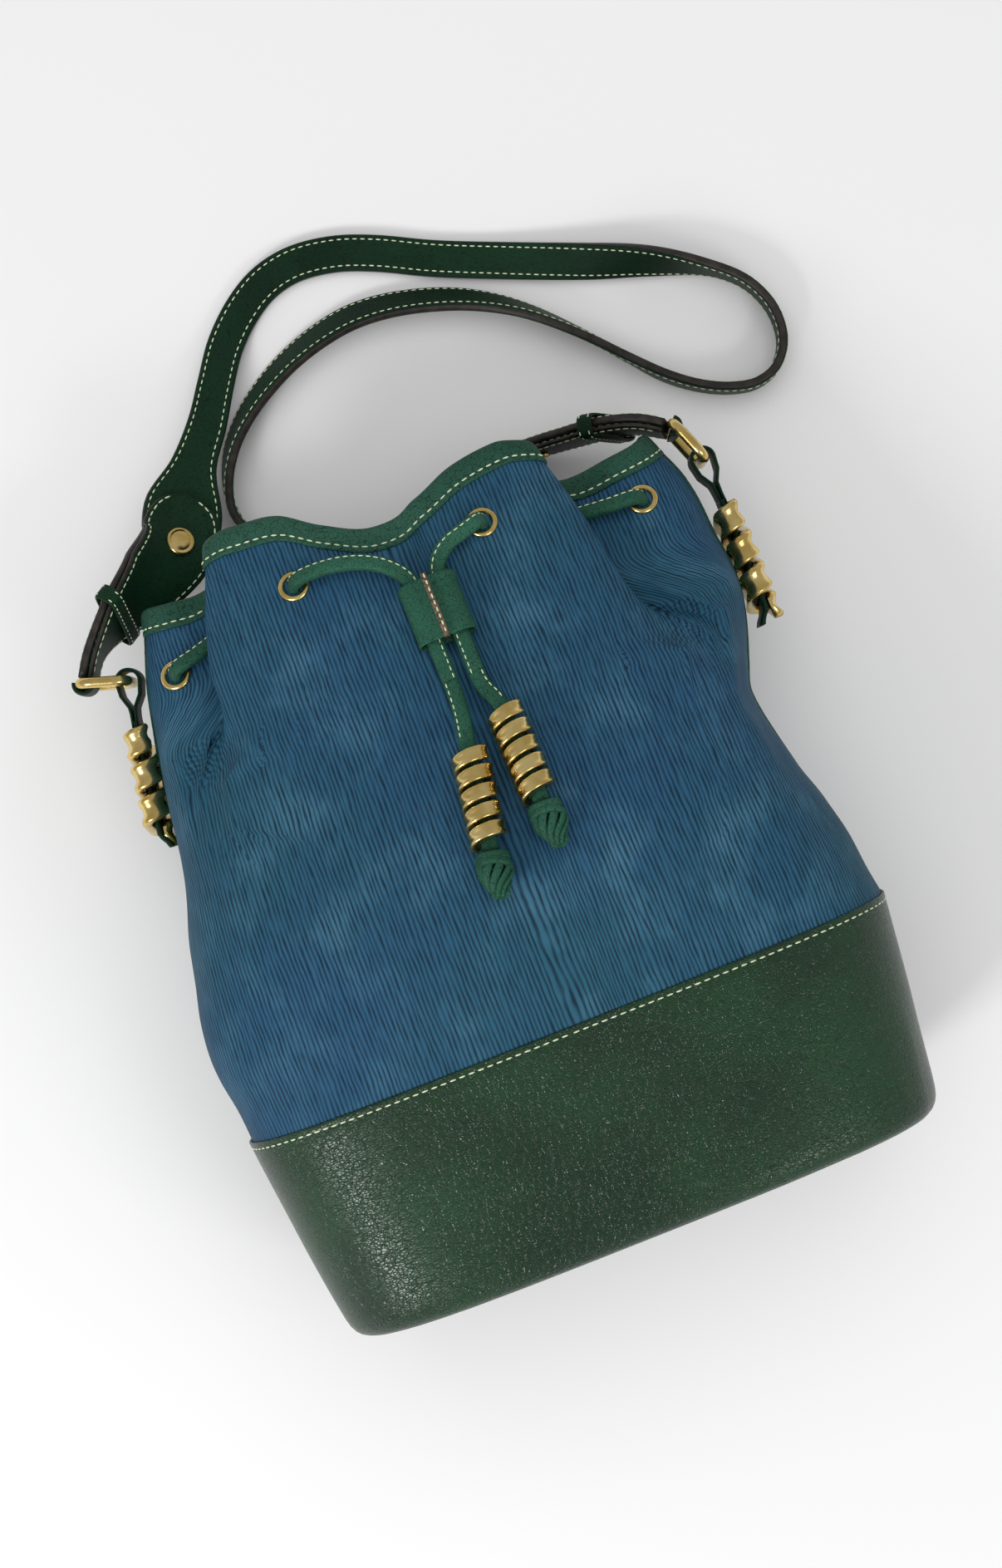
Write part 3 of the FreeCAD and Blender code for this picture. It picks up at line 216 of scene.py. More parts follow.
# %% Greens with a pebbled grain
def make_grain(name, deep, light, pebble, roughness, depth, gloss=0.12):
    leather = Finish(name)
    spot = leather.place()
    shifted = leather.speckle(spot, 0.35 / (pebble * MM), 2.0)
    small = leather.creases(leather.stretched(spot, (0.75, 1.4, 1.0)), 1.0 / (pebble * MM))
    large = leather.creases(spot, 0.42 / (pebble * MM))
    pebbles = small.between(0.0, 0.16) * 0.7 + large.between(0.0, 0.10) * 0.45 + shifted * 0.5
    cast = leather.speckle(spot, 16.0, 3.0)
    tone = leather.mixed(cast.between(0.3, 0.72), paint(deep), paint(light))
    # Painted shade: the creases between the pebbles are mixed most of the way to near-black.
    crease_shade = leather.mixed(0.7, tone, paint("050d08"))
    colour = leather.mixed(pebbles.between(0.35, 1.2), crease_shade, tone)
    leather.set(Base_Color=colour, Roughness=roughness + cast * 0.14, Specular_IOR_Level=gloss)
    leather.raised(pebbles, depth, 0.8)
    return leather.material


base_leather = make_grain("pebbled_base_leather", "062812", "0c3719", 1.3, 0.24, 0.26, 0.45)
strap_leather = make_grain("strap_leather", "0a2114", "12301e", 1.1, 0.36, 0.10)
binding_leather = make_grain("binding_leather", "1f4235", "2b5243", 1.2, 0.42, 0.09)
lace_leather = make_grain("lace_leather", "1e4737", "2d5a48", 0.9, 0.40, 0.08)
loop_leather = make_grain("tab_leather", "0c2417", "153322", 1.1, 0.38, 0.10)
print("made", [leather.name for leather in (base_leather, strap_leather, binding_leather,
                                            lace_leather, loop_leather)])

# %% [markdown]
# ## Thread, raw edges, lining and brass
#
# The rest are simpler: waxed thread with a twist, dark edge paint, the tan raw edge of the
# slider's seam, a woven lining, and polished brass that is a little uneven and warm.

# %% Small finishes
def make_plain(name, deep, light, scale, roughness, depth=0.05, gloss=0.5):
    finish = Finish(name)
    spot = finish.place()
    cast = finish.speckle(spot, scale, 3.0)
    finish.set(Base_Color=finish.mixed(cast.between(0.3, 0.7), paint(deep), paint(light)),
               Roughness=roughness + cast * 0.12, Specular_IOR_Level=gloss)
    finish.raised(cast, depth)
    return finish.material


def make_brass():
    brass = Finish("polished_brass")
    spot = brass.place()
    cloud = brass.speckle(spot, 120.0, 3.0)
    scratch = brass.speckle(brass.stretched(spot, (300.0, 1900.0, 700.0)), 1.0, 2.0)
    colour = brass.mixed(cloud.between(0.3, 0.75), paint("d3b468"), paint("efd692"))
    brass.set(Base_Color=colour, Metallic=1.0, Roughness=0.2 + scratch * 0.12)
    brass.raised(cloud * 0.6 + scratch * 0.2, 0.05, 0.5)
    return brass.material


def make_lining():
    lining = Finish("lining_cloth")
    spot = lining.place()
    warp, weft = (lining.node("ShaderNodeTexWave", {"bands_direction": way},
                              {"Vector": spot, "Scale": 420.0}) for way in "XY")
    weave = warp + weft
    lining.set(Base_Color=lining.mixed(weave * 0.5, paint("0a1611"), paint("16291f")),
               Roughness=0.85)
    lining.raised(weave, 0.08)
    return lining.material


thread = make_plain("waxed_thread", "a3b08f", "cbd4b3", 1400.0, 0.6, 0.12)
edge_paint = make_plain("edge_paint", "140f0e", "2a201d", 260.0, 0.42, 0.08)
raw_edge = make_plain("raw_edge", "33271d", "6b5743", 700.0, 0.8, 0.3)
board_fibre = make_plain("board_fibre", "4b443a", "6b6252", 300.0, 0.9, 0.1)
polished_brass = make_brass()
lining_cloth = make_lining()
print("materials", len(bpy.data.materials))

# %% [markdown]
# ## Making pieces
#
# Every soft piece starts as a flat grid whose points are then laid where the leather goes, which
# keeps rows and columns in order for the ribs and seams. Sizes are in millimetres, as on a
# pattern, and each finished mesh is scaled to metres once.

# %% Helpers for pieces
MERGE, FLAT_CAP = 0.004, 8


def new_piece(name, shape, materials, body, stands_for=()):
    """Makes a bmesh in millimetres into a smooth piece, with flat caps, that rides on a body."""
    bmesh.ops.scale(shape, vec=(MM, MM, MM), verts=shape.verts)
    for face in shape.faces:
        face.smooth = len(face.verts) < FLAT_CAP
    mesh = bpy.data.meshes.new(name)
    shape.to_mesh(mesh)
    shape.free()
    for material in materials:
        mesh.materials.append(material)
    piece = bpy.data.objects.new(name, mesh)
    scene.collection.objects.link(piece)
    if body:
        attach(piece, body)
    if stands_for:
        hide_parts(*stands_for)
    print(name, "faces", len(mesh.polygons))
    return piece


def laid_grid(columns, rows, place):
    """A grid whose points go to place(across, along), both from 0 to 1, with its own UV map.

    Where place brings two edges of the grid together, their points are merged.
    """
    shape = bmesh.new()
    bmesh.ops.create_grid(shape, x_segments=columns, y_segments=rows, size=0.5)
    layer = shape.loops.layers.uv.new("UVMap")
    for vertex in shape.verts:
        spot, uv = place(vertex.co.x + 0.5, vertex.co.y + 0.5)
        vertex.co = spot
        for loop in vertex.link_loops:
            loop[layer].uv = uv
    bmesh.ops.remove_doubles(shape, verts=shape.verts, dist=MERGE)
    return shape


def closed_up(shape):
    """Fills open ends and turns all faces outwards."""
    rims = [edge for edge in shape.edges if edge.is_boundary]
    if rims:
        bmesh.ops.holes_fill(shape, edges=rims)
    bmesh.ops.recalc_face_normals(shape, faces=shape.faces)
    return shape


def swept(path, outline, closed=False):
    """A closed outline of pairs carried along a path of (centre, side, up, widening)."""
    steps, corners = len(path) - (0 if closed else 1), len(outline)

    def place(across, along):
        row, corner = round(along * steps), round(across * corners)
        centre, side, up, widening = path[row % len(path)]
        out, rise = outline[corner % corners]
        return centre + side * (out * widening) + up * rise, (across * corners, along * steps)

    return closed_up(laid_grid(corners, steps, place))


def oblong(width, thick, power=5.0, count=20):
    """A rounded oblong outline: the higher the power, the squarer it is."""
    points = []
    for i in range(count):
        angle = 2 * math.pi * (i + 0.5) / count
        c, s = math.cos(angle), math.sin(angle)
        points.append((math.copysign(abs(c) ** (2 / power), c) * width / 2,
                       math.copysign(abs(s) ** (2 / min(power, 3.0)), s) * thick / 2))
    return points


def joined(parts):
    """One shape out of several closed ones."""
    whole, spare = parts[0], bpy.data.meshes.new("spare")
    for part in parts[1:]:
        part.to_mesh(spare)
        whole.from_mesh(spare)
        part.free()
    bpy.data.meshes.remove(spare)
    return whole


def axes_at(centre, along, across):
    """A matrix whose Z runs along and whose X runs across."""
    z = Vector(along).normalized()
    x = (Vector(across) - z * Vector(across).dot(z)).normalized()
    y = z.cross(x)
    turn = Matrix((x, y, z)).transposed().to_4x4()
    return Matrix.Translation(centre) @ turn


def turned(profile, place, closed=False):
    """A closed turned shape from pairs of radius and height."""
    shape = bmesh.new()
    corners = [shape.verts.new((max(radius, 0.0), 0, height)) for radius, height in profile]
    edges = [shape.edges.new((a, b)) for a, b in zip(corners, corners[1:])]
    if closed:
        edges.append(shape.edges.new((corners[-1], corners[0])))
    bmesh.ops.spin(shape, geom=corners + edges, cent=(0, 0, 0), axis=(0, 0, 1), angle=2 * math.pi,
                   steps=40, use_merge=True)
    bmesh.ops.remove_doubles(shape, verts=shape.verts, dist=MERGE)
    bmesh.ops.recalc_face_normals(shape, faces=shape.faces)
    bmesh.ops.transform(shape, matrix=place, verts=shape.verts)
    return shape


# %% [markdown]
# ## The shape of the bag
#
# These are the same curves as in the CAD source: half width, height of front and back, and how
# square each section is. Along the front, each of the two gathers is a real overhanging fold:
# the wide middle panel comes forward over the narrow lobe beside it. Curves drawn through a few
# measured places are enough, because leather has no sharp turns between them.

# %% Sections of the bag
# Insets are pairs of height above the seam and inset; edges are pairs of y and the gather's x.
BOTTOM, SEAM, RIM = -150.0, -61.5, 147.0
BASE_HALF, SEAM_HALF = 125.0, 136.0
LEFT_INSETS = [(0, 0.5), (42, -2), (76, 3), (106, 11), (144, 16.5), (184, 24.5), (212, 33),
               (240, 38)]
RIGHT_INSETS = [(0, 0), (41, 7), (59, 12), (92, 16.5), (104, 13.5), (132, 6), (156, 6), (185, 9.5),
                (208, 18), (240, 24)]
LEFT_EDGE = [(30, 99), (67, 106), (81, 98.3), (93, 91), (106, 85), (121, 82), (138, 77.5),
             (153, 72), (169, 66)]
RIGHT_EDGE = [(20, 104), (47, 111), (61, 105.8), (74, 96.4), (84, 89.6), (95, 85), (114, 82),
              (129, 79), (143, 75.5), (160, 71)]
FOLD_DEPTH = 24.0


def smooth(value, low, high):
    """Goes smoothly from 0 at low to 1 at high."""
    share = min(max((value - low) / (high - low), 0.0), 1.0)
    return share * share * (3 - 2 * share)


def through(place, knots):
    """A smooth value through pairs of place and value."""
    if place <= knots[0][0]:
        return knots[0][1]
    if place >= knots[-1][0]:
        return knots[-1][1]
    i = max(k for k in range(len(knots) - 1) if knots[k][0] <= place)
    slopes = []
    for k in (i, i + 1):
        low, high = knots[max(k - 1, 0)], knots[min(k + 1, len(knots) - 1)]
        slopes.append((high[1] - low[1]) / (high[0] - low[0]))
    return hermite(place, knots[i][0], knots[i + 1][0], knots[i][1], knots[i + 1][1], *slopes)


def hermite(place, start, end, first, last, first_slope, last_slope):
    """The cubic between two places that has these values and slopes there."""
    width = end - start
    u = (place - start) / width
    return (first * (2 * u ** 3 - 3 * u ** 2 + 1)
            + first_slope * (width * (u ** 3 - 2 * u ** 2 + u))
            + last * (3 * u ** 2 - 2 * u ** 3) + last_slope * (width * (u ** 3 - u ** 2)))


def up_base(y):
    """How far up the base a place is, from 0 at the bottom to 1 at the seam."""
    return max((y - BOTTOM) / (SEAM - BOTTOM), 0.0)


def half_width(y, side):
    if y <= SEAM:
        return BASE_HALF + (SEAM_HALF - BASE_HALF) * up_base(y) ** 0.8
    return SEAM_HALF - through(y - SEAM, LEFT_INSETS if side < 0 else RIGHT_INSETS)


def front_height(y):
    if y <= SEAM:
        return 149.2 - 9.0 * (1 - up_base(y) ** 0.7)
    blend = smooth(y, SEAM, SEAM + 0.62 * (RIM - SEAM))
    return (149.2 - 0.10 * (y - SEAM)) * (1 - blend) + (97.0 + 0.32 * (RIM - y)) * blend


def back_height(y):
    if y <= SEAM:
        return 9.0 * (1 - up_base(y)) - 1.3 * up_base(y)
    return 9.8 * smooth(y, RIM - 70, RIM - 24) - 1.3


def oval(y, side):
    """A section's half width, half height, middle and squareness."""
    top, low = front_height(y), back_height(y)
    return half_width(y, side), (top - low) / 2, (top + low) / 2, 3.6 - smooth(y, SEAM, RIM)


def skin_height(x, y, front=True):
    """Height of the outer skin of the CAD model."""
    a, b, middle, power = oval(y, -1 if x < 0 else 1)
    rise = b * max(1 - min(abs(x) / a, 1.0) ** power, 0.0) ** (1 / power)
    if not front:
        return middle - rise
    start = 57.0 + 34 * (1 - smooth(y, RIM - 100, RIM - 10))
    drop = smooth(abs(x), start, start + 10)
    if abs(x) > start + 10:
        drop = max((a - abs(x)) / (a - start - 10), 0.0) ** 1.1
    return middle + rise - FOLD_DEPTH * smooth(y, RIM - 105, RIM - 15) * drop


print("seam", 2 * SEAM_HALF, "by", round(front_height(SEAM) - back_height(SEAM), 1), "mm")

# %% [markdown]
# ## Landmarks for the leather
#
# On the real bag the lace draws the mouth in, and the slack leather turns over on itself. A plain
# height for each x can't overhang, so a ring of landmarks goes round every section instead, from
# the middle of the front by the right side to the back and home by the left. The leather runs
# smoothly through them. Each landmark stays at the same place of the hide all the way up, so the
# folds grow out of the flat front by degrees.

# %% Landmarks round each section
# Triples: place beside the gather when flat, place when folded, fall below the crest when folded.
FOLD_STEPS = [(-26, -14, 0.0), (-18, -6, 1.2), (-10, 0, 5.5), (-3, -4, 10.5), (3, -13, 12.5),
              (9, -7, 16.0)]
EYELET_LINE = 128.0


def side_landmarks(y, side):
    """Pairs of x and z down one side, from the middle of the front to short of the back's."""
    a, b, middle, power = oval(y, side)
    left = side < 0
    edge = min(through(y, LEFT_EDGE if left else RIGHT_EDGE), a - 18)
    start = 52 if left else 34
    fold, lean = smooth(y, start, start + 46), smooth(y, start + 24, start + 66)
    squeeze = min(1.0, (a - 10 - edge) / 16)

    def top(x):
        return middle + b * max(1 - min(x / a, 1.0) ** power, 0.0) ** (1 / power)

    points = []
    for share in (0.0, 0.30, 0.58):
        x = share * (edge - 8)
        points.append((x, skin_height(side * x, y) * (1 - fold) + top(x) * fold))
    for flat, folded, fall in FOLD_STEPS:
        x_flat, x_folded = edge + flat * squeeze, edge + folded
        x = x_flat * (1 - lean) + x_folded * lean
        crest = top(min(max(x_folded, edge - 14), edge - 3))
        points.append((x, skin_height(side * x_flat, y) * (1 - fold) + (crest - fall) * fold))
    x = (edge + 16 * squeeze) * (1 - lean) + (edge + 4) * lean
    points.append((x, skin_height(side * x, y)))
    turn = math.acos((x / a) ** (power / 2))
    for share in (0.74, 0.5, 0.27, 0.09):
        x = a * math.cos(turn * share) ** (2 / power)
        points.append((x, skin_height(side * x, y)))
    for degrees in (10, 28, 48, 66):
        x = a * math.cos(math.radians(degrees)) ** (2 / power)
        points.append((x, skin_height(side * x, y, front=False)))
    return [(side * x, z) for x, z in points]


def landmark_ring(y):
    """All the landmarks of the section at y."""
    right, left = side_landmarks(y, 1), side_landmarks(y, -1)
    return right + [(0.0, skin_height(0, y, front=False))] + left[:0:-1]


def steps_round(ring):
    """The distance from each landmark to the next, and from the last to the first."""
    return [math.dist(ring[i], ring[(i + 1) % len(ring)]) for i in range(len(ring))]


def shares_round(y):
    """Each landmark's share of the way round a section, and the length of that way."""
    steps = steps_round(landmark_ring(y))
    shares = [0.0]
    for step in steps:
        shares.append(shares[-1] + step / sum(steps))
    return shares, sum(steps)


def arc_places(ring):
    """Distance along the leather from the middle of the front to each landmark.

    The first list goes to the right; the second goes to the left and counts down.
    """
    steps = steps_round(ring)
    right, left = [0.0], [0.0]
    for i in range(len(ring) // 2):
        right.append(right[-1] + steps[i])
        left.append(left[-1] - steps[-1 - i])
    return right, left


KNOTS, GIRTH = shares_round(EYELET_LINE)
SIDE_INDEX, FRONT_INDEX = 13, 10
SIDE_RIGHT = (KNOTS[SIDE_INDEX] + KNOTS[SIDE_INDEX + 1]) / 2
SIDE_LEFT = (KNOTS[-SIDE_INDEX - 1] + KNOTS[-SIDE_INDEX - 2]) / 2
LOWEST, HIGHEST = int(BOTTOM), 179
RINGS = [landmark_ring(float(y)) for y in range(LOWEST, HIGHEST + 1)]
ARCS = [arc_places(ring) for ring in RINGS]
VALLEYS = [min(z for x, z in ring[:FRONT_INDEX] + ring[1 - FRONT_INDEX:]) for ring in RINGS]
print("landmarks", len(RINGS[0]), "girth", round(GIRTH))

# %% [markdown]
# ## Any point of the leather
#
# The rim rises and dips between the eyelets, so it gets a height at each landmark too. A point of
# the bag is then a share of the way round and a height: everything sewn to the bag, from the
# panels to the smallest stitch, asks the same function for its place, and so it always fits. Soft
# noise in that function gives the sag of used leather. It is read on a circle, so that it meets
# itself without a step where the shares start again.

# %% The rim's wave, the skin and its sag
RIM_RIGHT = [147, 151.5, 158.5, 161.5, 160, 157, 153, 147, 142, 138.5, 140, 141.5, 143.5, 145, 145,
             143.5, 142, 141]
RIM_LEFT = [147, 155.5, 166, 169, 169.5, 168, 165, 159, 154, 150.8, 151.5, 152.5, 153.3, 153.3, 152,
            149, 146, 143]
RIM_WAVE = RIM_RIGHT + [141] + RIM_LEFT[:0:-1]


def on_ring(values, share, mix):
    """A smooth value at a share of the way round; mix reads one landmark's value."""
    share %= 1.0
    count = len(KNOTS) - 1
    i = max(k for k in range(count) if KNOTS[k] <= share)
    before = KNOTS[i - 1] - (1 if i == 0 else 0)
    after = KNOTS[i + 2] if i + 2 <= count else KNOTS[1] + 1
    p = [mix(values, k % count) for k in (i - 1, i, i + 1, i + 2)]
    slope_a = (p[2] - p[0]) * (1 / (KNOTS[i + 1] - before))
    slope_b = (p[3] - p[1]) * (1 / (after - KNOTS[i]))
    return hermite(share, KNOTS[i], KNOTS[i + 1], p[1], p[2], slope_a, slope_b)


def rim_place(share):
    """The y of the rim at a share of the way round."""
    return on_ring(RIM_WAVE, share, lambda values, k: values[k])


def bare_skin(share, y):
    """A point of the outer skin in the plane of its section."""
    level = min(max(y, LOWEST), HIGHEST - 0.001) - LOWEST
    low, part = int(level), level - int(level)

    def landmark(rings, k):
        (x0, z0), (x1, z1) = rings[low][k], rings[low + 1][k]
        return Vector((x0 + (x1 - x0) * part, z0 + (z1 - z0) * part))

    return on_ring(RINGS, share, landmark)


def uneven(share, y, size):
    """Noise that closes on itself round the bag, from -1 to 1."""
    angle, radius = 2 * math.pi * share, GIRTH / (2 * math.pi)
    return noise.noise(Vector((radius * math.cos(angle), y, radius * math.sin(angle))) / size)


def along_hide(share, y):
    """Distance round the bag from the middle of the front, to the right or the left."""
    share = (share + 0.5) % 1.0 - 0.5
    side, far = (0, share) if share >= 0 else (1, -share)
    knots = KNOTS if side == 0 else [1 - knot for knot in reversed(KNOTS)]
    k = max(i for i in range(len(KNOTS) // 2) if knots[i] <= far)
    part = min((far - knots[k]) / (knots[k + 1] - knots[k]), 1.0)
    arcs = ARCS[round(min(max(y, LOWEST), HIGHEST)) - LOWEST][side]
    return arcs[k] + (arcs[k + 1] - arcs[k]) * part


def sag(share, y):
    """Soft unevenness of the hide between the seam and the eyelets."""
    fade = smooth(y, SEAM - 4, SEAM + 26) * (1 - smooth(y, 92, 118))
    wide, small = uneven(share, y, 52.0), uneven(share, y + 300, 24.0)
    ripple = math.sin(y / 7.5 + 2.4 * uneven(share, 0.0, 50.0))
    low_ripple = 0.35 * ripple * (1 - smooth(y, SEAM + 20, SEAM + 75))
    return fade * (2.0 * wide + 0.7 * small + low_ripple)


def skin(share, y, inset=0.0):
    """A point on the leather, set in from the outer skin, and the way outwards there."""
    before, here, after = (bare_skin(share + step, y) for step in (-0.0012, 0.0, 0.0012))
    tangent = (after - before).normalized()
    outward = Vector((-tangent.y, 0, tangent.x))
    spot = Vector((here.x, y, here.y)) + outward * (sag(share, y) - inset)
    spot.z = max(spot.z, inset + 0.05)
    return spot, outward


print("rim from", round(min(RIM_WAVE)), "to", round(max(RIM_WAVE)))

# %% [markdown]
# ## Blue panels, front and back
#
# Each panel is one hide, 2 mm thick, sewn at the sides. The grid goes up its outside and down
# its inside, so the piece is closed. The UV map counts real millimetres round and up the bag.

# %% The two panels
BODY_STEP, BODY_LEATHER = 0.8, 2.0


def panel(name, start, end, columns, rows_out, rows_in, node):
    """One hide between two shares, up its outside from under the base band and down inside."""
    rows = rows_out + rows_in

    def place(across, along):
        share = start + (end - start) * across
        row = round(along * rows)
        rising = row <= rows_out
        climb = row / rows_out if rising else 1 - (row - rows_out) / rows_in
        low = SEAM - 5.0
        y = low + climb * (rim_place(share) - 1.3 - low)
        inset = BODY_STEP if rising and row > 0 else BODY_STEP + BODY_LEATHER
        return skin(share, y, inset)[0], (along_hide(share, y) * MM, y * MM)

    new_piece(name, closed_up(laid_grid(columns, rows, place)), [ribbed_leather], "bag",
              [node])


panel("front_leather", SIDE_LEFT - 1.0, SIDE_RIGHT, 330, 120, 30, "front_panel")
panel("back_leather", SIDE_RIGHT, SIDE_LEFT, 130, 100, 20, "back_panel")

# %% [markdown]
# ## Base band
#
# The base band is stiff leather drawn over a board, with a soft round lower edge and a turned
# upper edge that covers the foot of the blue panels. Its profile is a list of insets and
# heights, carried round the same sections, since one profile is easier to shape than a solid.

# %% The base band
BAND_PROFILE = [(14, BOTTOM + 0.6), (9, BOTTOM + 0.2), (5.6, BOTTOM + 0.25), (3.4, BOTTOM + 0.9),
                (1.9, BOTTOM + 2.0), (0.9, BOTTOM + 3.6), (0.3, BOTTOM + 5.6), (0.05, BOTTOM + 8.5)]
BAND_PROFILE += [(0.0, BOTTOM + 12 + 3.0 * i) for i in range(24)]
BAND_PROFILE += [(0.0, SEAM - 3.2), (0.12, SEAM - 2.6), (0.0, SEAM - 2.0), (-0.15, SEAM - 1.1),
                 (-0.05, SEAM - 0.4), (0.3, SEAM), (0.9, SEAM - 0.1), (1.2, SEAM - 1.0)]
BAND_PROFILE += [(2.4, SEAM - 8 - 9.0 * i) for i in range(8)]
BAND_PROFILE += [(3.4, BOTTOM + 6.0), (6.0, BOTTOM + 3.2), (14, BOTTOM + 2.8)]


def band_sag(share, y):
    """How far the band swells where the board presses on it."""
    return 0.5 * uneven(share, y, 36.0)


def round_profile(profile, columns, wobble=None):
    """A closed profile of (inset, y) pairs carried right round the bag."""
    count = len(profile)

    def place(across, along):
        inset, y = profile[round(along * count) % count]
        spot, outward = skin(across, y, inset)
        if wobble:
            spot = spot + outward * wobble(across, y)
        return spot, (across * GIRTH * MM, y * MM)

    return closed_up(laid_grid(columns, count, place))


new_piece("base_band_leather", round_profile(BAND_PROFILE, 300, band_sag), [base_leather], "bag",
          ["base_band"])

# %% [markdown]
# ## The bottom
#
# The bag stands on a flat sheet of the same leather, which the photograph can't show. Its grid
# runs from the edge to the middle on the outside and back to the edge on the inside, so it ends
# as a closed sheet. The same way of drawing toward the middle also makes the lining's floor.


# %% The bottom
def toward_middle(y, inset, share, reach):
    """A point between the middle of a section, at reach 0, and its edge, at reach 1."""
    edge = skin(share, y, inset)[0]
    middle = Vector((0.0, y, (front_height(y) + back_height(y)) / 2))
    return middle.lerp(edge, reach)


def bottom_place(across, along):
    along = 0.0 if along > 0.99 else along
    reach = abs(2 * along - 1)
    y = BOTTOM + (0.7 if along < 0.51 else 2.6)
    spot = toward_middle(y, 4.0, across, reach)
    return spot, (spot.x * MM, spot.z * MM)


new_piece("base_bottom_leather", closed_up(laid_grid(160, 24, bottom_place)), [base_leather], "bag",
          ["base_bottom"])


# %% [markdown]
# ## The lining
#
# The lining is a cloth cup that hangs inside and shows only as dark green in the mouth. It could
# be the skin set in by a few millimetres, but it would then have to turn over with the folds of
# the leather. Real cloth hangs below them, so its front is held under the lowest valley.

# %% The lining, a cup that hangs inside
WALL_ROWS, FLOOR_ROWS = 60, 10
CUP_ROWS = WALL_ROWS + FLOOR_ROWS


def lining_place(across, along):
    row = round(along * 2 * CUP_ROWS) % (2 * CUP_ROWS)
    inner = row > CUP_ROWS
    step = 2 * CUP_ROWS - row if inner else row
    inset, floor = (3.9, BOTTOM + 7.0) if inner else (3.1, BOTTOM + 6.2)
    if step >= WALL_ROWS:
        spot = toward_middle(floor, inset, across, 1 - (step - WALL_ROWS) / FLOOR_ROWS)
    else:
        high = rim_place(across) - 8.0
        y = high + (floor - high) * step / WALL_ROWS
        spot = skin(across, y, inset)[0]
        under = min(spot.z, VALLEYS[int(y) - LOWEST] - 4.5 - inset)
        spot.z += (under - spot.z) * smooth(y, -10, 20) * (1 - smooth(y, 116, 132))
    return spot, (across, along)


new_piece("lining_cup", closed_up(laid_grid(200, 2 * CUP_ROWS, lining_place)), [lining_cloth],
          "bag", ["lining"])

# %% [markdown]
# ## Binding
#
# A folded strip of green leather is sewn over the whole rim. Its section is drawn once, as
# insets from the skin and drops below the rim, and carried round. The shallow groove in it is
# where the stitches will pull the leather in.

# %% The binding of the rim
BINDING_PROFILE = [(0.75, 9.9), (0.2, 9.9), (-0.35, 9.4), (-0.45, 8.4), (-0.30, 7.4), (-0.5, 6.4),
                   (-0.65, 4.0), (-0.6, 1.8), (-0.3, 0.5), (0.4, -0.25), (1.4, -0.55), (2.6, -0.5),
                   (3.6, -0.1), (4.2, 0.8), (4.4, 3.0), (4.3, 9.4), (3.9, 9.8), (3.0, 9.4),
                   (2.9, 1.2), (1.9, 0.8), (0.75, 1.2)]


def binding_place(across, along):
    inset, drop = BINDING_PROFILE[round(along * len(BINDING_PROFILE)) % len(BINDING_PROFILE)]
    spot = skin(across, rim_place(across) - drop, inset)[0]
    return spot, (across * GIRTH * MM, drop * MM)


new_piece("binding", closed_up(laid_grid(420, len(BINDING_PROFILE), binding_place)),
          [binding_leather], "bag", ["rim_binding"])

# %% [markdown]
# ## Side strips
#
# A flat strip covers each side seam from the base to the binding. It could be a sheet with a
# thickness added, but a closed outline also gives the rounded edges and the two sewn grooves.

# %% The strips over the side seams
STRIP_HALF = [(-6.0, 0.9), (-6.0, -0.1), (-5.5, -0.55), (-4.6, -0.6), (-3.9, -0.42), (-3.2, -0.6)]
STRIP_OUTLINE = STRIP_HALF + [(0.0, -0.75)] + [(-out, inset) for out, inset in STRIP_HALF[::-1]]


def side_strip(name, middle, node):
    """A strip along the share of one side seam."""
    def place(across, along):
        out, inset = STRIP_OUTLINE[round(across * len(STRIP_OUTLINE)) % len(STRIP_OUTLINE)]
        low, high = SEAM - 2.0, rim_place(middle) - 9.0
        y = low + (high - low) * along
        return skin(middle + out / GIRTH, y, inset)[0], (out * MM, y * MM)

    new_piece(name, closed_up(laid_grid(len(STRIP_OUTLINE), 90, place)), [binding_leather],
              "bag", [node])


side_strip("side_strip_leather_left", SIDE_LEFT, "side_strip_left")
side_strip("side_strip_leather_right", SIDE_RIGHT, "side_strip_right")

# %% [markdown]
# ## Stitches
#
# Pale waxed thread shows along every seam. Each stitch is a small flattened bead laid along the
# seam, spaced like a saddle stitch, with only a few faces because there are hundreds. They are
# made in chunks, because adding to a very large mesh again and again is slow.

# %% One row of stitches
STITCH, CHUNK = (0.38, 0.28, 1.35), 500


def stitches(name, lines, body, pitch=3.8, size=STITCH):
    """Stitches along lines of (point, outward) pairs in millimetres."""
    parts, scale = [bmesh.new()], Matrix.Diagonal((*size, 1.0))
    for line in lines:
        travelled, next_at = 0.0, pitch * 0.5
        for (a, out_a), (b, out_b) in zip(line, line[1:]):
            length = (b - a).length
            while length > 0 and travelled + length >= next_at:
                share = (next_at - travelled) / length
                outward = out_a.lerp(out_b, share).normalized()
                place = axes_at(a.lerp(b, share), b - a, (b - a).cross(outward))
                bmesh.ops.create_uvsphere(parts[-1], u_segments=6, v_segments=4, radius=1.0,
                                          matrix=place @ scale)
                next_at += pitch
                if len(parts[-1].verts) > CHUNK:
                    parts.append(bmesh.new())
            travelled += length
    return new_piece(name, joined(parts), [thread], body)


def seam_line(y_of, inset, count=500, wobble=None):
    """A line for stitches right round the bag, where y_of(share) is its place."""
    line = []
    for i in range(count + 1):
        share = i / count
        y = y_of(share)
        spot, outward = skin(share, y, inset)
        if wobble:
            spot = spot + outward * wobble(share, y)
        line.append((spot, outward))
    return line


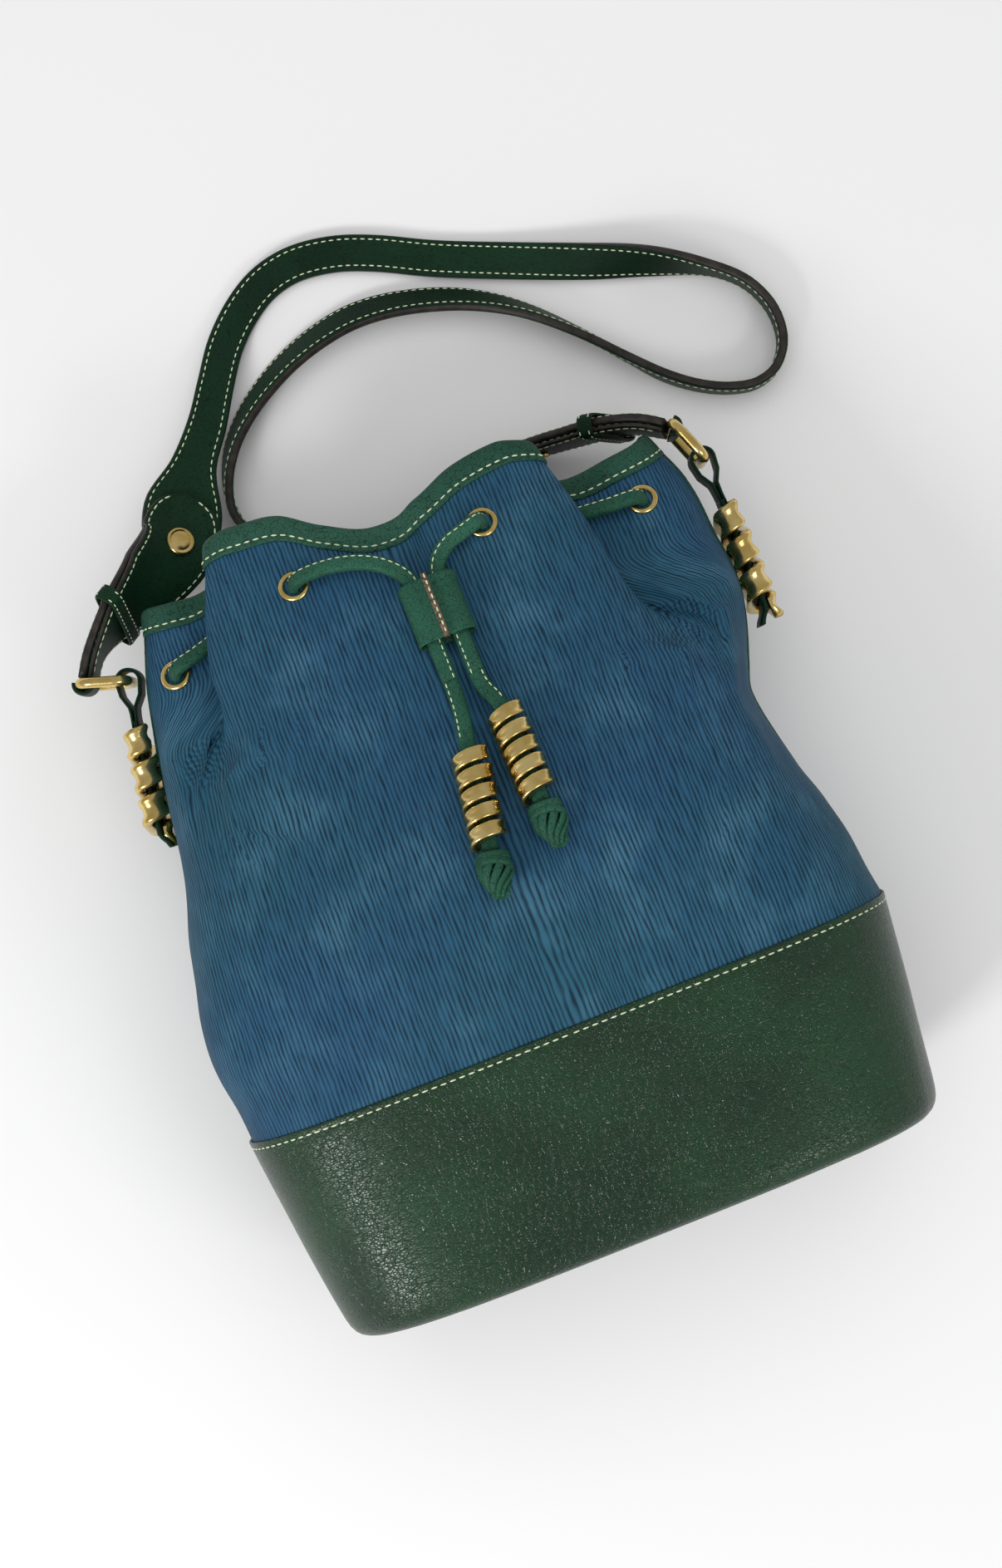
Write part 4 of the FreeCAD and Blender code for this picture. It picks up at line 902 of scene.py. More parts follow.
stitches("base_seam_stitches", [seam_line(lambda share: SEAM - 2.6, -0.02, wobble=band_sag)],
         "bag")
stitches("binding_stitches", [seam_line(lambda share: rim_place(share) - 7.4, -0.42, 900)],
         "bag")
strip_lines = []
for seam_share in (SIDE_LEFT, SIDE_RIGHT):
    for out in (-3.9, 3.9):
        share = seam_share + out / GIRTH
        low, high = SEAM + 2, rim_place(seam_share) - 12.0
        strip_lines.append([skin(share, low + (high - low) * i / 120, -0.5) for i in range(121)])
stitches("side_strip_stitches", strip_lines, "bag")

# %% [markdown]
# ## Eyelets
#
# Twelve brass eyelets are crimped through leather and lining. Each is one turned profile with a
# rounded flange outside and a flat one inside, set square to the skin.

# %% Turned eyelets
EYELETS = {
    "front_left_1": (-38.0, 137.0), "front_left_2": (-72.0, 131.0), "front_left_3": (-96.5, 123.0),
    "front_right_1": (41.0, 133.0), "front_right_2": (73.0, 122.0), "front_right_3": (105.0, 119.5),
    "back_left_3": (-90.0, 121.0), "back_left_2": (-64.0, 122.0), "back_left_1": (-36.0, 123.0),
    "back_right_1": (36.0, 123.0), "back_right_2": (66.0, 121.0), "back_right_3": (95.0, 119.0),
}
EYELET_PROFILE = [(4.0, -3.6), (4.0, 0.5), (4.3, 1.1), (4.9, 1.35), (5.6, 1.25), (6.2, 0.8),
                  (6.5, 0.1), (6.3, -0.1), (4.8, -0.1), (4.75, -3.2), (5.9, -3.3), (6.0, -3.8),
                  (5.4, -4.1), (4.5, -4.2)]


def skin_spot(x, y, front):
    """A point of the blue leather's outside and the way it faces, from the slopes there."""
    step = 1.5
    slope_x = (skin_height(x + step, y, front) - skin_height(x - step, y, front)) / (2 * step)
    slope_y = (skin_height(x, y + step, front) - skin_height(x, y - step, front)) / (2 * step)
    facing = Vector((-slope_x, -slope_y, 1)) if front else Vector((slope_x, slope_y, -1))
    facing.normalize()
    return Vector((x, y, skin_height(x, y, front))) - facing * BODY_STEP, facing


spots = {name: skin_spot(x, y, "front" in name) for name, (x, y) in EYELETS.items()}
for name, (spot, facing) in spots.items():
    eyelet = turned(EYELET_PROFILE, axes_at(spot, facing, (1, 0, 0)), closed=True)
    new_piece("eyelet_ring_" + name, eyelet, [polished_brass], "bag", ["eyelet_" + name])

# %% [markdown]
# ## Laces
#
# A lace is a flat folded strip of leather, sewn along one edge. A curve with a bevel could show
# it, but a bevel can't be told which way the flat side faces. So the route is read as a NURBS
# curve, and a flattened outline is carried along its points without twisting.

# %% Carrying a lace along its route
LACE_WIDE, LACE_TOP = 6.6, 2.05
LACE_OUTLINE = oblong(LACE_WIDE, 4.6, 2.8, 16)


def nurbs_line(name, points, steps=12):
    """Points of the smooth NURBS curve that a route's points draw, in millimetres."""
    curve = bpy.data.curves.new(name, "CURVE")
    curve.dimensions = "3D"
    curve.resolution_u = steps
    spline = curve.splines.new("NURBS")
    spline.points.add(len(points) - 1)
    for point, spot in zip(spline.points, points):
        point.co = (*spot, 1.0)
    spline.order_u = 3
    spline.use_endpoint_u = True
    holder = bpy.data.objects.new(name, curve)
    mesh = bpy.data.meshes.new_from_object(holder)
    line = [vertex.co.copy() for vertex in mesh.vertices]
    bpy.data.objects.remove(holder)
    bpy.data.meshes.remove(mesh)
    return line


def carried(line, first_up, last_up=None):
    """Centre, side, up and widening along a line, eased to the last way up if one is given."""
    path, up = [], Vector(first_up)
    for i, centre in enumerate(line):
        along = (line[min(i + 1, len(line) - 1)] - line[max(i - 1, 0)]).normalized()
        up = (up - along * up.dot(along)).normalized()
        path.append((centre, along.cross(up), up, 1.0))
    if last_up is None:
        return path
    side, up = path[-1][1:3]
    twist = math.atan2(-Vector(last_up).dot(side), Vector(last_up).dot(up))
    eased = []
    for i, (centre, side, up, wide) in enumerate(path):
        turn = twist * i / (len(path) - 1)
        c, s = math.cos(turn), math.sin(turn)
        eased.append((centre, side * c + up * s, up * c - side * s, wide))
    return eased


def lace_stitches(name, path, offset):
    line = [(centre + side * offset + up * LACE_TOP, up) for centre, side, up, _ in path]
    return stitches(name, [line], "bag", 3.1, (0.3, 0.22, 1.1))


print("lace outline", len(LACE_OUTLINE), "corners")

# %% [markdown]
# ## The drawstring
#
# The drawstring is one lace. It comes up through the slider, runs over the front, dives through
# the eyelets under each fold and goes round the back. The route could be drawn by hand, but it
# is safer to name the places it has to pass: outside and inside each eyelet, and over the front
# at a small height. If the bag changes, the lace follows it.

# %% The drawstring
OVER, UNDER = 6.05, 9.15
LACE_APART, SPLIT = 5.4, 30.0


def on_front(x, y, rise):
    """A point above the front of the skin."""
    return Vector((x, y, skin_height(x, y) + rise))


def outside_of(name):
    spot, facing = spots[name]
    return spot + facing * OVER


def inside_of(name):
    spot, facing = spots[name]
    return spot - facing * UNDER


def under_fold(name, toward):
    """A point in the hollow under a fold, beside an eyelet's inside."""
    spot = inside_of(name)
    return Vector((spot.x + toward, spot.y + 2.0, spot.z - 6.0))


slope_way = Vector((0, -1, 0.32)).normalized()
slope_up = Vector((0, 0.32, 1)).normalized()
slider_middle = on_front(11.6, 106.0, 5.2)


def in_slider(side_x, along):
    """A point of one of the two laces, a distance down from the middle of the slider."""
    return slider_middle + Vector((side_x, 0, 0)) + slope_way * along


left_lace = [
    in_slider(-LACE_APART, SPLIT), in_slider(-LACE_APART, -8.0), in_slider(-LACE_APART, -17.0),
    on_front(-1.5, 131.0, OVER), on_front(-12.0, 136.5, OVER - 0.6),
    on_front(-24.0, 139.0, OVER - 0.4), outside_of("front_left_1"),
    inside_of("front_left_1"), under_fold("front_left_2", 12.0),
    inside_of("front_left_2"), outside_of("front_left_2"), on_front(-84.0, 127.5, OVER - 1.5),
    outside_of("front_left_3"), inside_of("front_left_3"), inside_of("back_left_3"),
    outside_of("back_left_3"), outside_of("back_left_2"), inside_of("back_left_2"),
    inside_of("back_left_1"), outside_of("back_left_1"),
]
right_lace = [
    outside_of("back_right_1"), inside_of("back_right_1"), inside_of("back_right_2"),
    outside_of("back_right_2"), outside_of("back_right_3"), inside_of("back_right_3"),
    inside_of("front_right_3"), outside_of("front_right_3"), on_front(90.0, 121.5, OVER - 1.0),
    outside_of("front_right_2"), inside_of("front_right_2"), under_fold("front_right_2", -12.0),
    inside_of("front_right_1"), outside_of("front_right_1"), on_front(33.0, 131.8, OVER - 0.2),
    on_front(24.0, 129.5, OVER), in_slider(LACE_APART, -17.0), in_slider(LACE_APART, -8.0),
    in_slider(LACE_APART, SPLIT),
]
lace_line = nurbs_line("lace_route", left_lace + right_lace, 14)
lace_path = carried(lace_line, slope_up, slope_up)
new_piece("drawstring_lace", swept(lace_path, LACE_OUTLINE), [lace_leather], "bag",
          ["drawstring"])
lace_stitches("drawstring_stitches", lace_path, 1.9)

# %% [markdown]
# ## Wound brass
#
# Each bead on the lace, and each coil round a side tab, is wound from one hollowed band of brass.
# A Screw modifier could wind a bead, but not a coil round a flat tab. One function does both: it
# asks for the spot and the way outwards at any turn, and the band's ends are drawn in.

# %% Bands of brass, and the places of the beads
BEAD_R, BEAD_PITCH, BEAD_BAND, BEAD_TURNS = 7.0, 7.6, 5.8, 4.6
BEAD_LENGTH = BEAD_PITCH * BEAD_TURNS + BEAD_BAND
BEAD_PROFILE = [(3.9, 0.5), (4.0, 0.1), (6.2, -0.1), (7.4, 0.0), (7.85, 0.5), (7.8, 1.1),
                (7.35, 1.9), (7.2, 2.9), (7.35, 3.9), (7.8, 4.7), (7.85, 5.3), (7.4, 5.8),
                (6.2, 5.9), (4.0, 5.7), (3.9, 5.3)]


def bead_axis(top_x, top_y, low_x, low_y):
    """The top of a bead that rests on the front, and the way down its lace."""
    upper, lower = on_front(top_x, top_y, BEAD_R + 0.5), on_front(low_x, low_y, BEAD_R + 0.5)
    return upper, (lower - upper).normalized()


ENDS = {"left": (-LACE_APART, bead_axis(3.2, 50.5, -3.0, 11.5)),
        "right": (LACE_APART, bead_axis(21.3, 60.8, 21.9, 21.4))}


def wound(profile, turns, pitch, steps, place, matrix):
    """A band wound on a path: place(turn) gives the path's spot and the way outwards."""
    count, corners = round(turns * steps), len(profile)
    inside, half_band = profile[0][0], profile[corners // 2][1] / 2

    def put(across, along):
        turn = round(along * count) / steps
        spot, outward = place(turn)
        out, rise = profile[round(across * corners) % corners]
        slim = smooth(min(turn, turns - turn), -0.03, 0.05)
        rise = half_band + (rise - half_band) * slim
        out = inside + (out - inside) * slim
        lifted = Vector((0, 0, pitch * turn + rise))
        return matrix @ (spot + outward * out + lifted), (across, along)

    return closed_up(laid_grid(corners, count, put))


def round_place(turn):
    angle = 2 * math.pi * turn
    return Vector((0, 0, 0)), Vector((math.cos(angle), math.sin(angle), 0))


print("bead length", BEAD_LENGTH)

# %% [markdown]
# ## Knots
#
# A knot stops each bead. The real one is a lace tied over itself many times, too tight to be
# traced. It could be one long tangled curve, but then every strand would have to be guessed. Two
# wraps like a cap, over eight strands that are drawn together below it, give the same form.


# %% Knots: two wraps like a cap, and strands drawn together below it
# Triples: radius, height, and how far the strand has turned.
STRAND = [(4.4, 3.0, 0), (6.1, 6.5, 0.25), (6.0, 10.0, 0.65), (3.9, 13.5, 1.2), (1.9, 16.2, 1.7)]
WRAP_CORNERS, STRANDS = 28, 8


def knot(name, start, way):
    place = axes_at(start, way, (1, 0, 0))

    def ring(radius, high, tilt, turn):
        angles = [2 * math.pi * i / WRAP_CORNERS for i in range(WRAP_CORNERS)]
        return [place @ Vector((math.cos(a) * radius, math.sin(a) * radius,
                                high + tilt * math.sin(a + turn))) for a in angles]

    def strand(angle):
        route = []
        for radius, high, twist in STRAND + [(1.7 + 0.8 * math.sin(3 * angle), 18.6, 1.9)]:
            turn = angle + twist
            route.append(place @ Vector((math.cos(turn) * radius, math.sin(turn) * radius, high)))
        return nurbs_line(name, route, 4)

    parts = [swept(carried(ring(5.3, 2.7, 0.7, 0.4), way), oblong(3.0, 4.4, 2.6, 12), closed=True),
             swept(carried(ring(5.9, 6.3, 1.7, 2.6), way), oblong(2.6, 3.6, 2.6, 12), closed=True)]
    for i in range(STRANDS):
        angle = 2 * math.pi * i / STRANDS
        outward = place.to_3x3() @ Vector((math.cos(angle), math.sin(angle), 0))
        parts.append(swept(carried(strand(angle), outward), oblong(3.4, 1.9, 2.6, 10)))
    return new_piece("tied_" + name, joined(parts), [lace_leather], "bag", [name])


print("strand points", len(STRAND) + 1)

# %% [markdown]
# ## The two free ends
#
# Below the slider each end of the lace runs over the front and through its bead to its knot. The
# ends could be part of the drawstring, but a free end swings and bends when the bag is moved. So
# each is a piece of its own, and its stitches and knot go with it.

# %% Both ends
for name, (side_x, (upper, way)) in ENDS.items():
    start = in_slider(side_x, SPLIT)
    lower = upper + way * (BEAD_LENGTH + 1.0)
    before = upper - way * 3.0
    bend = start + slope_way * (0.4 * (before - start).length)
    line = nurbs_line("end_route", [start, bend, before, upper.lerp(lower, 0.3), lower], 16)
    path = carried(line, slope_up)
    end = new_piece("lace_end_" + name, swept(path, LACE_OUTLINE), [lace_leather], "bag",
                    ["cord_end_" + name])
    shown = [row for row in path if (row[0] - start).dot(way) < (before - start).length]
    row = lace_stitches("lace_end_stitches_" + name, shown, 2.1 if side_x < 0 else -2.1)
    tied = knot("knot_" + name, lower, way)
    bead = new_piece("wound_bead_" + name,
                     wound(BEAD_PROFILE, BEAD_TURNS, BEAD_PITCH, 36, round_place,
                           axes_at(upper, way, (1, 0, 0))),
                     [polished_brass], "bead_" + name, ["bead_" + name])

# %% [markdown]
# ## The slider
#
# A folded piece of leather makes two tunnels for the laces. Its two cut edges meet in the middle,
# stand up as a tan ridge and are sewn together. The outline of half the section is mirrored.

# %% Slider, raw edge and its seam
SLIDER_HALF = [(1.0, 6.0), (1.3, 4.9), (2.6, 4.5), (5.4, 4.9), (8.6, 4.4), (11.0, 2.9), (12.0, 0.6),
               (11.7, -1.8), (10.0, -3.6), (6.0, -4.3), (2.0, -4.3)]
slider_outline = SLIDER_HALF + [(-x, z) for x, z in reversed(SLIDER_HALF)]
SLIDER_LONG, SLIDER_STEPS, SLIDER_CORNERS = 28.0, 14, len(slider_outline)
slider_path = []
for i in range(SLIDER_STEPS + 1):
    along = SLIDER_LONG * (i / SLIDER_STEPS - 0.5)
    flare = 1.0 + 0.05 * smooth(-along, 6, 14) + 0.02 * smooth(along, 8, 14)
    slider_path.append((slider_middle + slope_way * along, Vector((1, 0, 0)), slope_up, flare))


def slider_place(across, along):
    row = round(along * 2 * SLIDER_STEPS)
    inner = row > SLIDER_STEPS
    centre, side, up, flare = slider_path[2 * SLIDER_STEPS - row if inner else row]
    x, z = slider_outline[round(across * SLIDER_CORNERS) % SLIDER_CORNERS]
    if inner:
        x, z = x * 0.88, (z * 0.70 if abs(x) > 2 else min(z * 0.5, 3.0))
    return centre + side * x * flare + up * z, (across, along)


slider = new_piece("slider_leather",
                   closed_up(laid_grid(SLIDER_CORNERS, 2 * SLIDER_STEPS, slider_place)),
                   [lace_leather], "slider", ["slider"])
slider.modifiers.new("round", "SUBSURF").levels = 1
slider.modifiers["round"].render_levels = 1
ridge_path = [(c + u * 6.1, s, u, 1.0) for c, s, u, _ in slider_path]
new_piece("slider_raw_edge", swept(ridge_path, oblong(2.5, 1.9, 3.0, 10)), [raw_edge], "slider")
stitches("slider_stitches", [[(c + u * 7.1 + s * 0.2, u) for c, s, u, _ in slider_path]], "slider",
         3.0, (0.42, 0.3, 1.05))

# %% [markdown]
# ## Side tabs and brass coils
#
# On each side a leather tab hangs from a ring, wound with a brass band like a bamboo cane. The
# coil could be a stack of separate flat rings, but the real one climbs, so it is wound by the
# same function as the beads, round a flat tab in place of a circle.

# %% Tabs and coils
UP = Vector((0, 0, 1))
SIDES = {"left": (Vector((-119.8, 119.0, 52)), Vector((-129.6, 58.0, 52))),
         "right": (Vector((137.4, 115.0, 52)), Vector((138.2, 54.0, 52)))}
TAB_WIDTH, TAB_THICK, COIL_PITCH, COIL_TURNS = 18.0, 3.0, 14.0, 3.0
FLAT_HALF = TAB_WIDTH / 2 - 0.2 * TAB_THICK
COIL_LENGTH, TAB_STEPS = 53.4, 24
COIL_PROFILE = [(1.9, 0.6), (2.2, 0.1), (4.6, 0.0), (5.6, 0.3), (6.2, 1.0), (6.3, 1.9), (5.9, 2.9),
                (5.1, 4.2), (4.8, 5.7), (5.1, 7.2), (5.9, 8.6), (6.3, 9.6), (6.2, 10.5),
                (5.6, 11.2), (4.6, 11.5), (2.2, 11.3), (1.9, 10.8)]


def flat_place(turn):
    """Round a flat tab: two straight sides and two round ends."""
    whole = (turn % 1.0) * 4
    quarter, share = int(whole), whole - int(whole)
    if quarter % 2 == 0:
        end = 1 if quarter == 0 else -1
        angle = math.pi * (share - 0.5 + quarter / 2)
        return Vector((end * FLAT_HALF, 0, 0)), Vector((math.cos(angle), math.sin(angle), 0))
    way = 1 if quarter == 1 else -1
    return Vector((way * FLAT_HALF * (1 - 2 * share), 0, 0)), Vector((0, way, 0))


for name, (high, low) in SIDES.items():
    way = (low - high).normalized()
    inward = Vector((1 if name == "left" else -1, 0, 0))
    tab_path = []
    for i in range(TAB_STEPS + 1):
        along = 6.0 + (COIL_LENGTH + 1.0) * i / TAB_STEPS
        lean = 4.0 * smooth(along, 53, 61)
        tab_path.append((high + way * along + inward * lean, UP, inward, 1.0))
    new_piece("side_tab_leather_" + name, swept(tab_path, oblong(TAB_WIDTH, TAB_THICK)),
              [loop_leather, edge_paint], "bag", ["side_tab_" + name])
    coil = wound(COIL_PROFILE, COIL_TURNS, COIL_PITCH, 40, flat_place,
                 axes_at(high + way * 7.0, way, (0, 0, 1)))
    new_piece("wound_coil_" + name, coil, [polished_brass], "bag", ["side_coil_" + name])

# %% [markdown]
# ## Loops round the rings' bars
#
# The tab's upper end is a loop round the ring's bar. When the strap swings, the loop's far end
# goes with the ring while its near end stays with the bag, so it can't ride on one body, and it
# is left on none. Its path runs up one side, round the bar and down the other side, which
# mirrors the first. The rings and the board keep their CAD shape and only get a finish.

# %% Loops round the rings' bars
BARS = {"left": (Vector((-117.6, 129.6, 52)), Vector((-0.95, 0.30, 0)).normalized()),
        "right": (Vector((136.6, 127.5, 52)), Vector((-0.36, 0.93, 0)).normalized())}
RING_SPAN, LOOP_R, LOOP_STEPS = 19.0, 4.8, 12
for name, (bar, way) in BARS.items():
    high = SIDES[name][0]
    down = (high - bar).normalized()
    side = down.cross(UP)
    coil_top = (high - bar).length + 9.0
    legs = [(coil_top, 0.8), (coil_top - 6, 0.85), (11.0, 1.2), (6.0, 3.9)]
    loop_line = [bar + down * reach + side * apart for reach, apart in legs]
    for i in range(LOOP_STEPS + 1):
        angle = math.pi * i / LOOP_STEPS
        loop_line.append(bar + (side * math.cos(angle) - down * math.sin(angle)) * LOOP_R)
    loop_line += [bar + down * reach - side * apart for reach, apart in reversed(legs)]
    loop_path = [(centre, UP, up, 1.0) for centre, _, up, _ in carried(loop_line, side)]
    loop = new_piece("tab_loop_leather_" + name, swept(loop_path, oblong(17.6, 1.6)),
                     [loop_leather], None, ["tab_loop_" + name])
    high * MM
    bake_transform(loop)

for name, material in (("ring_left", polished_brass), ("ring_right", polished_brass),
                       ("base_board", board_fibre)):
    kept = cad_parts[name].data
    kept.materials.clear()
    kept.materials.append(material)
    for polygon in kept.polygons:
        polygon.material_index = 0
    print(name, "kept, with", material.name)

# %% [markdown]
# ## The shoulder strap
#
# The strap is a long ribbon, thick and stitched on both edges. It lies flat at the top of its
# loop, turns onto its edge at the far end and comes back behind the bag. A curve's own tilt
# would do for a cord, but a strap's width changes too, so a table gives its place, how far it
# is rolled and how wide it is. Where it lies on the table, its height follows from its roll.

# %% Where the strap runs
left_eye = BARS["left"][0] + BARS["left"][1] * RING_SPAN
right_eye = BARS["right"][0] + BARS["right"][1] * RING_SPAN
STRAP_THICK, FOLD_THICK, STRAP_LIFT = 4.0, 2.4, 0.6
# On the table: x, y and roll. Elsewhere: x, y, z, roll and width.
LYING = [
    (-19, 265.5, 0), (-6, 273, 0), (9, 276, 0), (26.7, 273.7, 0), (43.5, 267.5, 0),
    (66, 256.2, 0), (92.3, 244.7, 4), (125.3, 230.8, 22), (151.9, 219.9, 52), (174.1, 208, 84),
    (187.5, 196, 90), (193.8, 181.5, 90), (193, 167, 90), (186, 157, 90), (175.9, 153.6, 90),
    (164.5, 155.8, 90), (152.1, 162, 90), (140.3, 171.3, 90), (128.5, 184.3, 84),
    (113.6, 201.2, 78), (97.1, 217.4, 68), (82.5, 228, 58), (65.8, 236.3, 50), (45.1, 242.5, 46),
    (26.8, 244.6, 44), (10.5, 242.7, 46), (-7, 237.4, 50), (-21.4, 230.3, 54),
    (-34.3, 221.5, 60), (-45, 210.5, 68), (-52, 197, 80), (-54, 183.5, 90), (-48.5, 170.5, 90),
    (-37, 160.5, 90), (-21, 154.5, 90), (-2, 152, 90),
]
STRAP = [
    (left_eye.x, left_eye.y, 52, 90, 20), (-127.5, 147.5, 50.5, 88, 24),
    (-113.5, 158.5, 46.5, 70, 31), (-97, 167.5, 38.5, 42, 33), (-80.5, 178, 29, 16, 33),
    (-72, 193.5, 23.5, 4, 33), (-62, 208, 21, 0, 20), (-50.5, 223, 17, 0, 17),
    (-40.5, 239.6, 10, 0, 16), (-31, 254, 4.5, 0, 16),
    *((x, y, None, roll, 16) for x, y, roll in LYING),
    (20, 153.5, None, 90, 17), (40, 158.5, None, 90, 21), (58, 163.5, 17.8, 90, 33),
    (75, 162.5, 22, 90, 33), (92, 160, 31, 90, 33), (106, 157, 41, 90, 31),
    (118.5, 152.5, 49, 90, 24), (right_eye.x, right_eye.y, 52, 90, 20),
]
rows = []
for x, y, z, roll, width in STRAP:
    lean = math.radians(roll)
    if z is None:
        z = math.sin(lean) * width / 2 + math.cos(lean) * STRAP_THICK / 2 + STRAP_LIFT
    rows.append((x, y, z, roll, width))
lengths = [0.0]
for a, b in zip(rows, rows[1:]):
    lengths.append(lengths[-1] + math.dist(a[:3], b[:3]))
STRAP_LENGTH = lengths[-1]
strap_curves = [[(d, row[i]) for d, row in zip(lengths, rows)] for i in range(5)]


def strap_at(distance):
    """Middle, way along, width direction, face direction and width at a distance."""
    x, y, z, roll, width = (through(distance, curve) for curve in strap_curves)
    ahead, behind = (Vector([through(distance + step, curve) for curve in strap_curves[:3]])
                     for step in (0.5, -0.5))
    along = (ahead - behind).normalized()
    lean = math.radians(roll)
    level = UP.cross(along).normalized()
    width_way = level * math.cos(lean) + along.cross(level) * math.sin(lean)
    return Vector((x, y, z)), along, width_way, along.cross(width_way), width


print("strap length", round(STRAP_LENGTH))

# %% [markdown]
# ## The ribbon, its edges and its stitches
#
# The strap is two layers of leather glued back to back, with their cut edges painted dark. One
# function makes a ribbon between two distances along the strap, so that the long strap and the
# ends that are folded back over it follow the same line. The faces of its two edges get the
# second material, which is simpler than painting a texture.

# %% The ribbon and its painted edges
def ribbon(start, end, step, thick, lift, width_of, count=24):
    """A ribbon between two distances, with a rounded oblong section."""
    steps = max(int((end - start) / step), 2)
    outline = oblong(1.0, 1.0, 9.0, count)

    def place(across, along):
        distance = start + (end - start) * along
        middle, _, width_way, face, width = strap_at(distance)
        out, rise = outline[round(across * count) % count]
        wide = width_of(distance, width)
        return (middle + width_way * out * wide + face * (lift + rise * thick),
                (across, distance * MM))

    shape = closed_up(laid_grid(count, steps, place))
    layer = shape.loops.layers.uv["UVMap"]
    for polygon in shape.faces:
        across = [loop[layer].uv.x for loop in polygon.loops]
        centre = (min(across) + max(across)) / 2
        on_edge = min(abs(centre - edge) for edge in (0, 0.5, 1)) < 2.2 / count
        polygon.material_index = 1 if on_edge else 0
    return shape


def edge_lines(start, end, step, rise, margin, width_of, faces=(1, -1)):
    """Lines for stitches along both edges of a ribbon, on one face or both."""
    lines = []
    count = int((end - start) / step)
    for side in (-1, 1):
        for way in faces:
            line = []
            for i in range(count + 1):
                distance = start + (end - start) * i / count
                middle, _, width_way, face, width = strap_at(distance)
                out = max(width_of(distance, width) / 2 - margin, 0.0)
                line.append((middle + width_way * out * side + face * rise * way, face * way))
            lines.append(line)
    return lines


def own_width(distance, width):
    return width


new_piece("strap_leather_ribbon",
          ribbon(2.0, STRAP_LENGTH - 2.0, 3.0, STRAP_THICK, 0.0, own_width),
          [strap_leather, edge_paint], "strap", ["shoulder_strap"])
stitches("strap_stitches", edge_lines(6, STRAP_LENGTH - 6, 3.0, 2.0, 2.3, own_width), "strap",
         3.4, (0.32, 0.24, 1.15))

# %% [markdown]
# ## Ends folded back over the rings
#
# Each end of the strap is thinned, taken round its ring and sewn down on the strap, where it ends
# in a round tip. The tip could be cut with a boolean, but the ribbon already has a width at each
# distance, so a half circle in that width gives it cleanly.

# %% Ends folded back over the rings, sewn and riveted
TIP = 17.0
FOLD_LENGTH = lengths[5] + 4.0


def left_width(distance, width):
    past = max(distance - (FOLD_LENGTH - TIP), 0.0) / TIP
    return min(width, 33.0) * math.sqrt(max(1 - past * past, 0.0)) + 0.02


def right_width(distance, width):
    return left_width(STRAP_LENGTH - distance, width)


fold_middle = STRAP_THICK / 2 + FOLD_THICK / 2 - 0.1
fold_top = STRAP_THICK / 2 + FOLD_THICK - 0.1
for name, start, end, width_of in (
        ("left", 2.0, FOLD_LENGTH, left_width),
        ("right", STRAP_LENGTH - FOLD_LENGTH, STRAP_LENGTH - 2.0, right_width)):
    new_piece("strap_fold_" + name, ribbon(start, end, 1.2, FOLD_THICK, fold_middle, width_of),
              [strap_leather, edge_paint], "strap")
    stitches("strap_fold_stitches_" + name,
             edge_lines(start + 2.5, end - 2.5, 1.5, fold_top, 2.4, width_of, (1,)),
             "strap", 3.4)

# %% [markdown]
# ## Turns of the strap round the rings
#
# Between the strap and its folded end, the leather turns round the ring. A half circle round the
# ring's eye, carried with the same outline function, closes the gap, and its width stays within
# the ring.

# %% Turns of the strap round the rings
TURN_R, TURN_STEPS = 3.6, 16
for name, eye, first in (("left", left_eye, 2.0), ("right", right_eye, STRAP_LENGTH - 2.0)):
    _, along, _, face, _ = strap_at(first)
    back = along if name == "left" else -along
    turn_line = []
    for i in range(TURN_STEPS + 1):
        angle = math.pi * i / TURN_STEPS
        turn_line.append(eye + face * (0.6 + math.cos(angle) * -TURN_R)
                         - back * math.sin(angle) * TURN_R)
    turn_path = [(centre, UP, up, 1.0) for centre, _, up, _ in carried(turn_line, -face)]
    new_piece("strap_turn_" + name, swept(turn_path, oblong(20, 2.4)), [strap_leather, edge_paint],
              "strap")

# %% [markdown]
# ## Rivets and keepers
#
# A brass rivet holds each folded end, and a narrow leather keeper goes round strap and fold. The
# rivet is turned from one profile like the eyelets. The keeper is a band carried round a rounded
# oblong, which hugs the strap better than a box with bevels would.

# %% Rivets and keepers
RIVET_PROFILE = [(0, 0), (4.1, 0), (4.5, 0.4), (4.5, 0.9), (4.2, 1.2), (2.0, 1.2), (2.0, 7.8),
                 (5.9, 7.8), (6.1, 8.3), (5.9, 9.2), (5.4, 9.55), (4.9, 9.5), (4.55, 9.1),
                 (4.3, 9.0), (3.9, 9.2), (3.0, 9.6), (1.5, 9.85), (0, 9.9)]
for name, distance in (("left", lengths[4]), ("right", lengths[-5])):
    middle, along, _, face, _ = strap_at(distance)
    base = middle - face * (STRAP_THICK / 2 + 1.3)
    new_piece("rivet_" + name, turned(RIVET_PROFILE, axes_at(base, face, along)), [polished_brass],
              "strap", ["strap_rivet_" + name])

